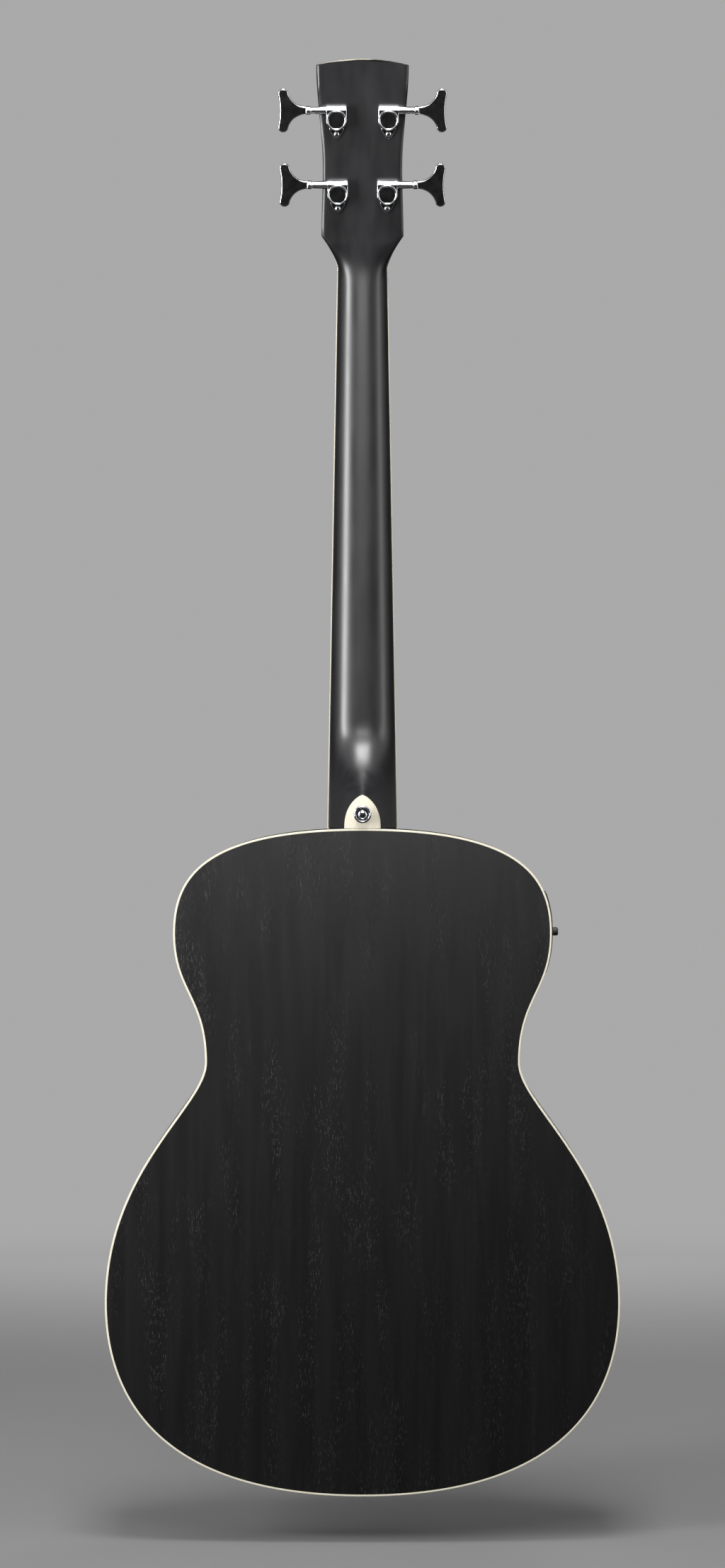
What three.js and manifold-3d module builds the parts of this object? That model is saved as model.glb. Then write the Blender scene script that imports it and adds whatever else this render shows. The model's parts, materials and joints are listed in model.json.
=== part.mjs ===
// Acoustic bass guitar, modelled as its separate pieces. Lengths are in millimetres.
// +Z runs up the neck, the soundboard faces -Y, the back faces +Y and the bass side is -X.
// The origin is on the centre line, where the fretboard meets the nut, level with the soundboard's face.
import * as THREE from "three";
import { mergeVertices } from "three/addons/utils/BufferGeometryUtils.js";
import Module from "manifold-3d";

const wasm = await Module();
wasm.setup();

// Clearances
const gap = 0.3; // between pieces that touch, are glued or are screwed together
const runningGap = 0.4; // between a turning piece and what it turns in
const overrun = 6; // how far a cutting tool passes beyond the piece

// Body outline, measured down the centre line from the neck end
const neckToBody = 471;
const bodyLength = 550;
const upperBoutHalf = 156.4;
const upperBoutDown = 86;
const waistHalf = 129.8;
const waistDown = 193;
const lowerBoutHalf = 212.3;
const lowerBoutDown = 391;
const topHandleShares = [0.855, 0.472];
const upperHandleShares = [0.453, 0.505];
const lowerHandleShares = [0.175, 0.558];
const tailHandleShares = [0.507, 0.778];
const outlineSteps = [11, 6, 10, 13];
const bodyMiddleShare = 0.45; // where the plates' rings shrink to, down the body's length

// Body shell
const depthAtHeel = 105;
const depthAtTail = 120;
const backDomeRadius = 4600;
const soundboardThickness = 3.2;
const backThickness = 3;
const sideThickness = 2.5;
const bindingWidth = 1.6;
const bindingDepth = 6;
const plateRingShares = [1, 0.7, 0.3];

// Inside the body
const liningDepth = 14;
const liningTopWidth = 3;
const liningBaseWidth = 6.5;
const neckBlockHalf = 38;
const neckBlockLength = 52;
const tailBlockHalf = 34;
const tailBlockLength = 24;
const xBraceDown = 229;
const braceWidth = 9;
const braceHeight = 15;
const upperBraceDown = 74;
const upperBraceWidth = 14;
const braceEndGap = 7; // down the side, from the upper brace to the middle of an arm of the X brace
const backBraceShares = [0.2, 0.44, 0.75]; // of the body's length
const bridgePlateHalf = 84;
const bridgePlateLength = 46;
const bridgePlateThickness = 2.6;

// Soundhole and its inlay
const soundholeRadius = 51;
const soundholeDown = 146;
const rosetteInset = 4;
const rosetteWidth = 6;
const rosetteThickness = 1;
const holeSides = 40;
const rodSides = 16; // of a plain round piece or bore

// Neck and headstock
const scaleLength = 813;
const nutWidth = 43;
const neckWidthAtBody = 59.7;
const neckThicknessAtNut = 15;
const neckThicknessAtBody = 18.5;
const neckRoundness = 2.3; // 2 is an ellipse, and more is squarer
const headRoundness = 10;
const neckSectionSteps = 16;
const headTilt = 12;
const headThickness = 14.5;
const headCornerHalf = 34.6;
const headCornerUp = 27;
const headWaistHalf = 33.4;
const headWaistUp = 85;
const headTopHalf = 38.8;
const headTopCornerUp = 172;
const headTopUp = 177;
const headHandleShare = 0.4;
const curveSteps = 5; // along each curve of a plate's outline
const veneerThickness = 1.6;
// Height, half width and roundness of the sections between the nut and the headstock's lower corners
const flareUpShares = [0.03, 0.23, 0.42, 0.63, 0.82, 1];
const flareWidthShares = [0.02, 0.16, 0.3, 0.54, 0.78, 1];
const flareRoundShares = [0.02, 0.08, 0.18, 0.36, 0.62, 1];
const slabFootShare = 0.8; // how wide the headstock's slab starts, inside the flare

// Heel and heel cap
const heelReach = 94; // how far up the neck the heel's curve starts
const heelCapWidth = 30;
const heelCapLength = 27.7;
const heelCapThickness = 3;
const heelSteps = 9;
const heelWidthPower = 1.6;
const heelReachPower = 3;
const archPower = 1.9;

// Truss rod
const rodRadius = 2.6;
const rodDepth = 9.4; // from the fretboard's underside to the rod's axis
const rodStart = 14;
const rodEnd = 556;
const rodNutRadius = 4.6;
const rodNutLength = 11;
const rodNutSides = 6;

// Fretboard, nut and strings
const fretboardLength = 562;
const fretboardThickness = 6.5;
const fretboardRadius = 400;
const fretBindingWidth = 1.5;
const fretCount = 20;
const fretWidth = 2.4;
const fretTopWidth = 1.2;
const fretHeight = 1.1;
const fretRoot = 0.5;
const nutThickness = 4;
const nutHeight = 9.2;
const stringGapAtNut = 11.3;
const stringGapAtSaddle = 18.5;
const stringFloorAtNut = 8;
const stringFloorAtSaddle = 12.8;
const stringSides = 8;

// Bridge, saddle and pickup
const bridgeLength = 152;
const bridgeFront = 14; // from the saddle line towards the neck
const bridgeRear = 25;
const bridgeHeight = 9;
const bridgeCorner = 8;
const saddleLength = 76;
const saddleThickness = 3.2;
const saddleSlotFloor = 2.5;
const pickupThickness = 1.2;
const stringExitHeight = 3.4;

// Tuners, each around its string post's axis on the headstock's back
const lowerPostAside = 20.8;
const lowerPostUp = 62.8;
const upperPostAside = 21.8;
const upperPostUp = 125.1;
const gearTeeth = 20;
const gearModule = 0.55;
const gearThickness = 4;
const gearTipCut = 0.1; // taken off the teeth's full height
const gearRootCut = 0.2;
const toothTipShare = 0.3; // of a tooth's pitch
const toothRootShare = 0.62;
const wormPitchRadius = 2.5;
const wormTipHeight = 0.45;
const wormRootDepth = 0.7;
const wormTurns = 4;
const wormSides = 6;
const gearMiddleHeight = 5.2; // of the worm's axis and the gear's middle over the headstock
const housingHeight = 9.5;
const housingRadius = 8.7;
const housingSides = 20;
const barrelRadius = 4.4;
const barrelSides = 14;
const faceRadius = 6.8;
const faceRecess = 0.4;
const roofThickness = 1.2;
const tabTip = 16;
const tabHalf = 6.2;
const tabThickness = 2.2;
const screwDown = 12.2;
const stemLength = 13;
const stemRadius = 3.5;
const stemTipRadius = 2.9;
const shaftRadius = 1.8;
const shaftSides = 10;
const collarLength = 3;
const collarRadius = 3.3;
const keyLength = 24;
const keyHalfHeight = 17.7;
const keyThickness = 4.4;
const keyWaistHalf = 3;
const lobeRadius = 3;
const keyEdgeHollow = 1.6;
const postRadius = 4.5;
const capstanRadius = 5.6;
const postSides = 14;
const postStandOut = 19; // in front of the headstock
const windingStart = 5.5;
const windingLength = 7;
const postSlotWidth = 2.8;
const postSlotDepth = 5;
const bushingRadius = 8.4;
const bushingThickness = 2.8;
const tabScrewRadius = 1.3;
const tabScrewHeadRadius = 2.3;
const tabScrewHeadHeight = 1.4;
const tabScrewLength = 9;
const tabScrewSides = 12;

// Strap button and its screw
const buttonUp = 11.9; // above the body's edge
const buttonHeight = 11;
const buttonFlangeRadius = 7.35;
const buttonFlangeThickness = 2.4;
const buttonWaistRadius = 4.3;
const buttonBaseRadius = 6;
const cupRadius = 5.4;
const cupDepth = 3;
const strapScrewRadius = 2;
const strapScrewHeadRadius = 3.8;
const strapScrewHeadHeight = 2.2;
const strapScrewLength = 34;
const crossWidth = 0.9;
const crossDepth = 1.1;

// Preamp on the bass side
const panelLength = 66;
const panelHeight = 46;
const panelMiddle = 57; // from the soundboard's face
const panelThickness = 1.5;
const preampLength = 58;
const preampHeight = 38;
const preampDepth = 26;
const knobRadius = 3.3;
const knobHeight = 4.4;
const knobStemRadius = 1.4;
const knobSpacing = 13;
const pushRadius = 2.2;
const pushHeight = 1.3;
const pushTravel = 0.6;

// Output jack at the tail
const jackHeight = 60; // from the soundboard's face
const jackBarrelRadius = 6.2;
const jackBarrelLength = 32;
const jackWasherRadius = 10;
const jackWasherThickness = 1.2;
const jackWaistRadius = 6.6;
const jackFlangeRadius = 9.2;
const jackFlangeThickness = 2.2;
const jackStandOut = 7.4;
const jackBoreRadius = 3.3;
const jackSides = 18;

// Places that follow from the sizes above
const bodyTop = -neckToBody;
const bodyTail = bodyTop - bodyLength;
const bodyMiddle = bodyTop - bodyMiddleShare * bodyLength;
const saddleLine = -scaleLength;
const headStart = nutThickness + 2 * gap;
const neckBack = neckThicknessAtBody;
const gearRadius = (gearTeeth * gearModule) / 2;
const wormLead = Math.PI * gearModule;
const wormOffset = gearRadius + wormPitchRadius;

// Finishes
const finish = (color, roughness, metalness) =>
  new THREE.MeshStandardMaterial({ color, roughness, metalness });
const blackWood = finish(0x2b2b2d, 0.6, 0);
const ivory = finish(0xe9e5d6, 0.4, 0);
const spruce = finish(0xc9a873, 0.7, 0);
const darkWood = finish(0x4a3020, 0.6, 0);
const chrome = finish(0xd8d9dc, 0.12, 1);
const blackPlastic = finish(0x151515, 0.4, 0);
const bone = finish(0xf0ead8, 0.4, 0);
const bronze = finish(0xb07a42, 0.35, 1);
const steel = finish(0x9a9c9e, 0.35, 1);

const guitar = new THREE.Group();
const headstock = new THREE.Group();
headstock.position.z = headStart;
headstock.rotation.x = -THREE.MathUtils.degToRad(headTilt);
guitar.add(headstock);

// Turns a closed three.js geometry into a solid that can be cut and joined.
function solidOf(geometry) {
  const bare = geometry.index ? geometry.toNonIndexed() : geometry.clone();
  bare.deleteAttribute("normal");
  bare.deleteAttribute("uv");
  const merged = mergeVertices(bare, gap / 1000);
  const index = merged.index.array;
  const kept = [];
  for (let i = 0; i < index.length; i += 3) {
    const [a, b, c] = index.subarray(i, i + 3);
    if (a !== b && b !== c && c !== a) kept.push(a, b, c);
  }
  const vertProperties = merged.attributes.position.array;
  return new wasm.Manifold(new wasm.Mesh({ numProp: 3, vertProperties, triVerts: new Uint32Array(kept) }));
}

// Adds a solid to the model as a named mesh.
function addPiece(name, solid, material, parent = guitar) {
  const { vertProperties, triVerts } = solid.getMesh();
  const geometry = new THREE.BufferGeometry();
  geometry.setAttribute("position", new THREE.BufferAttribute(new Float32Array(vertProperties), 3));
  geometry.setIndex(new THREE.BufferAttribute(new Uint32Array(triVerts), 1));
  geometry.computeVertexNormals();
  const mesh = new THREE.Mesh(geometry, material);
  mesh.name = name;
  parent.add(mesh);
}

// A solid through a row of sections with equally many points each. An open row is capped with fans.
function loft(sections, { closed = false, startCap, endCap } = {}) {
  const count = sections[0].length;
  const points = sections.flat();
  const faces = [];
  const last = closed ? sections.length : sections.length - 1;
  for (let row = 0; row < last; row++) {
    const below = row * count;
    const above = ((row + 1) % sections.length) * count;
    for (let i = 0; i < count; i++) {
      const next = (i + 1) % count;
      faces.push(below + i, below + next, above + next, below + i, above + next, above + i);
    }
  }
  if (!closed) {
    const middle = (section) =>
      section.reduce((sum, p) => sum.add(p), new THREE.Vector3()).divideScalar(count);
    const start = points.push(startCap ?? middle(sections[0])) - 1;
    const end = points.push(endCap ?? middle(sections.at(-1))) - 1;
    const top = (sections.length - 1) * count;
    for (let i = 0; i < count; i++) {
      const next = (i + 1) % count;
      faces.push(start, next, i, end, top + i, top + next);
    }
  }
  let volume = 0;
  for (let i = 0; i < faces.length; i += 3) {
    const [a, b, c] = faces.slice(i, i + 3).map((v) => points[v]);
    volume += a.dot(new THREE.Vector3().crossVectors(b, c));
  }
  if (volume < 0) faces.reverse();
  const geometry = new THREE.BufferGeometry().setFromPoints(points);
  geometry.setIndex(faces);
  return solidOf(geometry);
}

// A box between two corners.
function block(low, high) {
  const size = high.map((value, i) => value - low[i]);
  const centre = high.map((value, i) => (value + low[i]) / 2);
  return solidOf(new THREE.BoxGeometry(...size).translate(...centre));
}

// A turned piece about the Y axis: its profile is a list of radius and height.
function turned(profile, sides) {
  const points = profile.map(([radius, height]) => new THREE.Vector2(radius, height));
  return solidOf(new THREE.LatheGeometry(points, sides));
}

// A plain cylinder about the Y axis between two heights.
function rod(radius, from, to, sides = rodSides) {
  return turned([[0, from], [radius, from], [radius, to], [0, to]], sides);
}

// A flat plate: an outline in X and Z, with its thickness from one Y to another.
function plate(shape, fromY, toY) {
  const depth = toY - fromY;
  const settings = { depth, bevelEnabled: false, curveSegments: curveSteps };
  const geometry = new THREE.ExtrudeGeometry(shape, settings);
  return solidOf(geometry.rotateX(Math.PI / 2).translate(0, toY, 0));
}

// Body outline: stations on the treble half, with their inward direction
const bezier = (...points) =>
  new THREE.CubicBezierCurve(...points.map(([x, down]) => new THREE.Vector2(x, down)));
const upperRun = waistDown - upperBoutDown;
const lowerRun = lowerBoutDown - waistDown;
const tailRun = bodyLength - lowerBoutDown;
const outlineCurves = [
  bezier(
    [0, 0],
    [upperBoutHalf * topHandleShares[0], 0],
    [upperBoutHalf, upperBoutDown * topHandleShares[1]],
    [upperBoutHalf, upperBoutDown],
  ),
  bezier(
    [upperBoutHalf, upperBoutDown],
    [upperBoutHalf, upperBoutDown + upperRun * upperHandleShares[0]],
    [waistHalf, waistDown - upperRun * upperHandleShares[1]],
    [waistHalf, waistDown],
  ),
  bezier(
    [waistHalf, waistDown],
    [waistHalf, waistDown + lowerRun * lowerHandleShares[0]],
    [lowerBoutHalf, lowerBoutDown - lowerRun * lowerHandleShares[1]],
    [lowerBoutHalf, lowerBoutDown],
  ),
  bezier(
    [lowerBoutHalf, lowerBoutDown],
    [lowerBoutHalf, lowerBoutDown + tailRun * tailHandleShares[0]],
    [lowerBoutHalf * tailHandleShares[1], bodyLength],
    [0, bodyLength],
  ),
];

function stationAt(curve, share) {
  const point = curve.getPoint(share);
  const along = curve.getTangent(share);
  return { x: point.x, z: bodyTop - point.y, inX: -along.y, inZ: -along.x };
}

const trebleHalf = outlineCurves.flatMap((curve, i) =>
  Array.from({ length: outlineSteps[i] }, (_, step) => stationAt(curve, step / outlineSteps[i])),
);
trebleHalf.push(stationAt(outlineCurves.at(-1), 1));
const mirrored = ({ x, z, inX, inZ }) => ({ x: -x, z, inX: -inX, inZ });
const bassHalf = trebleHalf.map(mirrored);
const fullOutline = [...trebleHalf, ...bassHalf.slice(1, -1).reverse()];

// Height of the back plate's outer face over the soundboard's outer face
function backHeight(x, z) {
  const down = bodyTop - z;
  const taper = ((depthAtTail - depthAtHeel) * down) / bodyLength;
  const fromMiddle = down - bodyLength / 2;
  const dome = ((bodyLength / 2) ** 2 - x ** 2 - fromMiddle ** 2) / (2 * backDomeRadius);
  return depthAtHeel + taper + dome;
}

// A strip that follows the body's outline: its section is a list of inset and height.
function bodyBand(stations, sectionAt, closed = false) {
  const sections = stations.map((s) =>
    sectionAt(backHeight(s.x, s.z)).map(
      ([inset, height]) => new THREE.Vector3(s.x + s.inX * inset, height, s.z + s.inZ * inset),
    ),
  );
  return loft(sections, { closed });
}

// A plate or a filling with the body's outline, between two heights.
function bodyPlate(inset, lowAt, highAt) {
  const ring = (share, heightAt) =>
    fullOutline.map((s) => {
      const x = (s.x + s.inX * inset) * share;
      const z = bodyMiddle + (s.z + s.inZ * inset - bodyMiddle) * share;
      return new THREE.Vector3(x, heightAt(x, z), z);
    });
  const lowRings = plateRingShares.toReversed().map((share) => ring(share, lowAt));
  const highRings = plateRingShares.map((share) => ring(share, highAt));
  const startCap = new THREE.Vector3(0, lowAt(0, bodyMiddle), bodyMiddle);
  const endCap = new THREE.Vector3(0, highAt(0, bodyMiddle), bodyMiddle);
  return loft([...lowRings, ...highRings], { startCap, endCap });
}

// Stations of one side, kept off the centre seam
const seamed = (half) => {
  const side = Math.sign(half[1].x);
  return half.map((s) => ({ ...s, x: side * Math.max(Math.abs(s.x), gap / 2) }));
};

// Truss rod, whose bore also runs through the body's neck end
const bore = (radius, from, to) => rod(radius, from, to).rotate([90, 0, 0]).translate([0, rodDepth, 0]);
const rodBore = bore(rodRadius + gap, bodyTop - rodEnd, overrun + bodyTop);
const trussRod = bore(rodRadius, -rodEnd, -rodStart);
const rodNut = rod(rodNutRadius, -rodEnd - rodNutLength - gap, -rodEnd, rodNutSides)
  .rotate([90, 0, 0])
  .translate([0, rodDepth, 0]);
addPiece("truss_rod", trussRod.add(rodNut), steel);

// Body shell
const soundboardBack = soundboardThickness;
const insideBack = (x, z) => backHeight(x, z) - backThickness;
const sideSection = (back) => [
  [0, bindingDepth + gap],
  [0, back - bindingDepth - gap],
  [sideThickness, back - bindingDepth - gap],
  [sideThickness, bindingDepth + gap],
];
const bindingSection = (low, high) => [[0, low], [0, high], [bindingWidth, high], [bindingWidth, low]];
const liningSection = (start, towards, spare) => {
  const inner = sideThickness + gap;
  return [
    [inner - spare, start - towards * spare],
    [inner + liningBaseWidth + spare, start - towards * spare],
    [inner + liningTopWidth + spare, start + towards * (liningDepth + spare)],
    [inner - spare, start + towards * (liningDepth + spare)],
  ];
};
const topLining = (spare) => bodyBand(fullOutline, () => liningSection(soundboardBack + gap, 1, spare), true);
const backLining = (spare) =>
  bodyBand(fullOutline, (back) => liningSection(back - backThickness - gap, -1, spare), true);
const inside = bodyPlate(sideThickness + gap, () => soundboardBack + gap, (x, z) => insideBack(x, z) - gap);

const soundboardShape = new THREE.Shape(
  fullOutline.map((s) => {
    const inset = bindingWidth + gap;
    return new THREE.Vector2(s.x + s.inX * inset, s.z + s.inZ * inset);
  }),
);
const soundholeZ = bodyTop - soundholeDown;
const disc = (radius, from, to) => rod(radius, from, to, holeSides).translate([0, 0, soundholeZ]);
const rosetteInner = soundholeRadius + rosetteInset;
const rosetteOuter = rosetteInner + rosetteWidth;
const ringCut = disc(rosetteOuter + gap, -overrun, rosetteThickness + gap).subtract(
  disc(rosetteInner - gap, -2 * overrun, overrun),
);
const soundboard = plate(soundboardShape, 0, soundboardThickness)
  .subtract(disc(soundholeRadius, -overrun, overrun))
  .subtract(ringCut);
const rosette = disc(rosetteOuter, 0, rosetteThickness).subtract(disc(rosetteInner, -overrun, overrun));
addPiece("soundboard", soundboard, blackWood);
addPiece("rosette", rosette, ivory);
addPiece("back_plate", bodyPlate(bindingWidth + gap, insideBack, backHeight), blackWood);
addPiece("top_binding", bodyBand(fullOutline, () => bindingSection(0, bindingDepth), true), ivory);
const backBindingSection = (back) => bindingSection(back - bindingDepth, back);
addPiece("back_binding", bodyBand(fullOutline, backBindingSection, true), ivory);

// Blocks, linings and braces
const neckBlockShape = (spare) =>
  block(
    [-neckBlockHalf - spare, 0, bodyTop - neckBlockLength - spare],
    [neckBlockHalf + spare, 2 * depthAtTail, bodyTop],
  );
const jackBore = rod(jackBarrelRadius + gap, -overrun, jackBarrelLength + overrun, jackSides)
  .rotate([90, 0, 0])
  .translate([0, jackHeight, bodyTail]);
const tailBlockShape = block(
  [-tailBlockHalf, 0, bodyTail],
  [tailBlockHalf, 2 * depthAtTail, bodyTail + tailBlockLength],
);
const bothLiningsGrown = topLining(gap).add(backLining(gap));
addPiece("top_lining", topLining(0).subtract(neckBlockShape(gap)), spruce);
addPiece("back_lining", backLining(0).subtract(neckBlockShape(gap)), spruce);
addPiece("neck_block", neckBlockShape(0).intersect(inside).subtract(rodBore), darkWood);
addPiece(
  "tail_block",
  tailBlockShape.intersect(inside).subtract(bothLiningsGrown).subtract(jackBore),
  darkWood,
);

const topBraceLow = soundboardBack + gap;
const xBraceBar = block(
  [-braceWidth / 2, topBraceLow, -bodyLength],
  [braceWidth / 2, topBraceLow + braceHeight, bodyLength],
);
const armEndDown = upperBraceDown + upperBraceWidth / 2 + braceEndGap;
const armAngle = THREE.MathUtils.radToDeg(Math.atan2(upperBoutHalf, xBraceDown - armEndDown));
const crossed = [armAngle, -armAngle].map((angle) => xBraceBar.rotate([0, angle, 0]));
const xBrace = crossed[0].add(crossed[1]).translate([0, 0, bodyTop - xBraceDown]);
addPiece("x_brace", xBrace.intersect(inside).subtract(bothLiningsGrown), spruce);

const crossBar = (down, width, low, high) =>
  block([-lowerBoutHalf, low, bodyTop - down - width / 2], [lowerBoutHalf, high, bodyTop - down + width / 2])
    .intersect(inside)
    .subtract(bothLiningsGrown);
const upperBrace = crossBar(upperBraceDown, upperBraceWidth, topBraceLow, topBraceLow + braceHeight);
addPiece("upper_brace", upperBrace.subtract(rodBore), spruce);
backBraceShares.forEach((share, i) => {
  const z = bodyTop - share * bodyLength;
  const low = backHeight(0, z) - backThickness - gap - braceHeight;
  addPiece("back_brace_" + (i + 1), crossBar(share * bodyLength, braceWidth, low, 2 * depthAtTail), spruce);
});
const bridgeMiddle = saddleLine + (bridgeFront - bridgeRear) / 2;
addPiece(
  "bridge_plate",
  block(
    [-bridgePlateHalf, topBraceLow, bridgeMiddle - bridgePlateLength / 2],
    [bridgePlateHalf, topBraceLow + bridgePlateThickness, bridgeMiddle + bridgePlateLength / 2],
  ),
  spruce,
);

// Sides, with the preamp's cut-out on the bass side
const panelZ = bodyTop - upperBoutDown;
const preampCut = (spare) =>
  block(
    [-upperBoutHalf - overrun, panelMiddle - preampHeight / 2 - spare, panelZ - preampLength / 2 - spare],
    [preampDepth - upperBoutHalf, panelMiddle + preampHeight / 2 + spare, panelZ + preampLength / 2 + spare],
  );
const boredSide = (half) => bodyBand(seamed(half), sideSection).subtract(rodBore).subtract(jackBore);
addPiece("side_treble", boredSide(trebleHalf), blackWood);
addPiece("side_bass", boredSide(bassHalf).subtract(preampCut(gap)), blackWood);

// Neck: round-backed shaft, flare into the headstock, headstock and heel
const neckHalfAt = (z) => (nutWidth + ((neckWidthAtBody - nutWidth) * -z) / neckToBody) / 2;
const neckDepthAt = (z) =>
  neckThicknessAtNut + ((neckThicknessAtBody - neckThicknessAtNut) * -z) / neckToBody;
const tilt = THREE.MathUtils.degToRad(headTilt);

// One section of the neck, tilted by a share of the headstock's angle about the point at height z
function neckSection(halfWidth, depth, roundness, z, tiltShare, up = 0) {
  const angle = tilt * tiltShare;
  return Array.from({ length: neckSectionSteps + 1 }, (_, i) => {
    const turn = (i / neckSectionSteps - 1 / 2) * Math.PI;
    const across = Math.sign(turn) * Math.abs(Math.sin(turn)) ** (2 / roundness);
    const deep = depth * Math.max(0, Math.cos(turn)) ** (2 / roundness);
    const y = deep * Math.cos(angle) + up * Math.sin(angle);
    return new THREE.Vector3(halfWidth * across, y, z - deep * Math.sin(angle) + up * Math.cos(angle));
  });
}
const neckEnd = bodyTop + gap;
const mix = THREE.MathUtils.lerp;
const flare = flareUpShares.map((share, i) =>
  neckSection(
    mix(nutWidth / 2, headCornerHalf, flareWidthShares[i]),
    mix(neckThicknessAtNut, headThickness, share),
    mix(neckRoundness, headRoundness, flareRoundShares[i]),
    headStart,
    1,
    headCornerUp * share,
  ),
);
const shaftSections = [neckEnd, neckEnd / 2, 0].map((z) =>
  neckSection(neckHalfAt(z), neckDepthAt(z), neckRoundness, z, 0),
);
const shaft = loft([...shaftSections, ...flare]);

// The headstock's outline over a foot, whose points run up the treble edge to the lower corner
function headOutline(foot) {
  const waistRun = headWaistUp - headCornerUp;
  const topRun = headTopCornerUp - headWaistUp;
  const edge = [
    [headCornerHalf, headCornerUp + waistRun * headHandleShare],
    [headWaistHalf, headWaistUp - waistRun * headHandleShare],
    [headWaistHalf, headWaistUp],
    [headWaistHalf, headWaistUp + topRun * headHandleShare],
    [headTopHalf, headTopCornerUp - topRun * headHandleShare],
    [headTopHalf, headTopCornerUp],
  ];
  const upwards = [[headCornerHalf, headCornerUp], ...edge.slice(0, -1)];
  const otherEdge = upwards.toReversed().map(([x, up]) => [-x, up]);
  const shape = new THREE.Shape(foot.map(([x, up]) => new THREE.Vector2(x, up)));
  shape.bezierCurveTo(...edge.slice(0, 3).flat());
  shape.bezierCurveTo(...edge.slice(3).flat());
  shape.quadraticCurveTo(0, 2 * headTopUp - headTopCornerUp, -headTopHalf, headTopCornerUp);
  shape.bezierCurveTo(...otherEdge.slice(0, 3).flat());
  shape.bezierCurveTo(...otherEdge.slice(3).flat());
  foot.slice(0, -1).toReversed().forEach(([x, up]) => shape.lineTo(-x, up));
  return shape;
}
const lowerCorner = [headCornerHalf, headCornerUp];
const slabFoot = [[headCornerHalf * slabFootShare, headCornerUp - overrun / 2], lowerCorner];
const veneerFoot = flareUpShares.map((share, i) => [
  mix(nutWidth / 2, headCornerHalf, flareWidthShares[i]),
  headCornerUp * share,
]);
const intoHead = (solid) => solid.rotate([-headTilt, 0, 0]).translate([0, 0, headStart]);
const headSlab = intoHead(plate(headOutline(slabFoot), 0, headThickness));
const veneerBed = intoHead(
  block([-2 * headTopHalf, -overrun, 0], [2 * headTopHalf, veneerThickness + gap, headTopUp + overrun]),
);

// Heel: pointed arches that shrink towards the heel cap
function archSection(width, length, y, point) {
  const half = Array.from({ length: heelSteps }, (_, i) => {
    const up = i / heelSteps;
    return [(width / 2) * (1 - up ** archPower) ** point, up * length];
  });
  const left = half.map(([x, up]) => new THREE.Vector3(-x, y, neckEnd + up));
  const right = half.map(([x, up]) => new THREE.Vector3(x, y, neckEnd + up)).reverse();
  return [...left, new THREE.Vector3(0, y, neckEnd + length), ...right];
}
const heelTop = neckBack / 2;
const heelBottom = depthAtHeel - heelCapThickness - gap;
const heelSections = Array.from({ length: heelSteps + 1 }, (_, i) => {
  const share = i / heelSteps;
  const width = mix(heelCapWidth, 2 * neckHalfAt(bodyTop), (1 - share) ** heelWidthPower);
  const length = mix(heelCapLength, heelReach, (1 - share) ** heelReachPower);
  return archSection(width, length, mix(heelTop, heelBottom, share), mix(1 / 2, 1, share));
});
const heel = loft(heelSections);

const strapScrewZ = bodyTop + buttonUp;
const strapScrewHole = rod(
  strapScrewRadius + gap,
  depthAtHeel - strapScrewLength,
  depthAtHeel + overrun,
).translate([0, 0, strapScrewZ]);
const rodChannel = block(
  [-rodRadius - gap, -overrun, neckEnd - overrun],
  [rodRadius + gap, rodDepth + rodRadius + gap, gap - rodStart],
);

// Tuner places: name, side of the centre line, distance aside and height up the headstock
const tunerPlaces = [
  { name: "e", side: -1, aside: lowerPostAside, up: lowerPostUp },
  { name: "a", side: -1, aside: upperPostAside, up: upperPostUp },
  { name: "d", side: 1, aside: upperPostAside, up: upperPostUp },
  { name: "g", side: 1, aside: lowerPostAside, up: lowerPostUp },
];
const tunerHoles = ({ side, aside, up }, from, to) =>
  rod(postRadius + runningGap, from, to, housingSides)
    .add(rod(tabScrewRadius + gap, headThickness - tabScrewLength, to).translate([0, 0, -screwDown]))
    .translate([side * aside, 0, up]);

let neck = shaft.add(heel).add(headSlab).subtract(veneerBed).subtract(rodChannel).subtract(strapScrewHole);
let veneer = plate(headOutline(veneerFoot), 0, veneerThickness);
for (const place of tunerPlaces) {
  neck = neck.subtract(intoHead(tunerHoles(place, -overrun, headThickness + overrun)));
  const post = rod(postRadius + runningGap, -overrun, overrun, housingSides);
  veneer = veneer.subtract(post.translate([place.side * place.aside, 0, place.up]));
}
addPiece("neck", neck, blackWood);
addPiece("headstock_plate", veneer, blackWood, headstock);

const capArch = new THREE.Shape(
  archSection(heelCapWidth, heelCapLength, 0, 1).map((p) => new THREE.Vector2(p.x, p.z)),
);
addPiece(
  "heel_cap",
  plate(capArch, depthAtHeel - heelCapThickness, depthAtHeel).subtract(strapScrewHole),
  ivory,
);

// Fretboard with its frets, binding and nut
const boardHalfAt = (z) => neckHalfAt(z) - fretBindingWidth - gap;
const boardHeight = (x) => fretboardThickness - x ** 2 / (2 * fretboardRadius);
const acrossShares = [-1, -0.4, 0.4, 1];
const boardTail = fretBindingWidth + gap - fretboardLength;
const boardSections = [boardTail, 0].map((z) => {
  const half = boardHalfAt(z);
  const top = acrossShares.map((share) => new THREE.Vector3(half * share, -boardHeight(half * share), z));
  return [new THREE.Vector3(half, -gap, z), new THREE.Vector3(-half, -gap, z), ...top];
});
let fretboard = loft(boardSections);
for (let number = 1; number <= fretCount; number++) {
  const z = -scaleLength * (1 - 2 ** (-number / 12));
  const half = boardHalfAt(z);
  const sections = acrossShares.map((share) => {
    const x = half * share;
    const surface = boardHeight(x);
    return [
      new THREE.Vector3(x, fretRoot - surface, z - fretWidth / 2),
      new THREE.Vector3(x, fretRoot - surface, z + fretWidth / 2),
      new THREE.Vector3(x, -surface - fretHeight, z + fretTopWidth / 2),
      new THREE.Vector3(x, -surface - fretHeight, z - fretTopWidth / 2),
    ];
  });
  fretboard = fretboard.add(loft(sections));
}
addPiece("fretboard", fretboard, darkWood);

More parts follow.
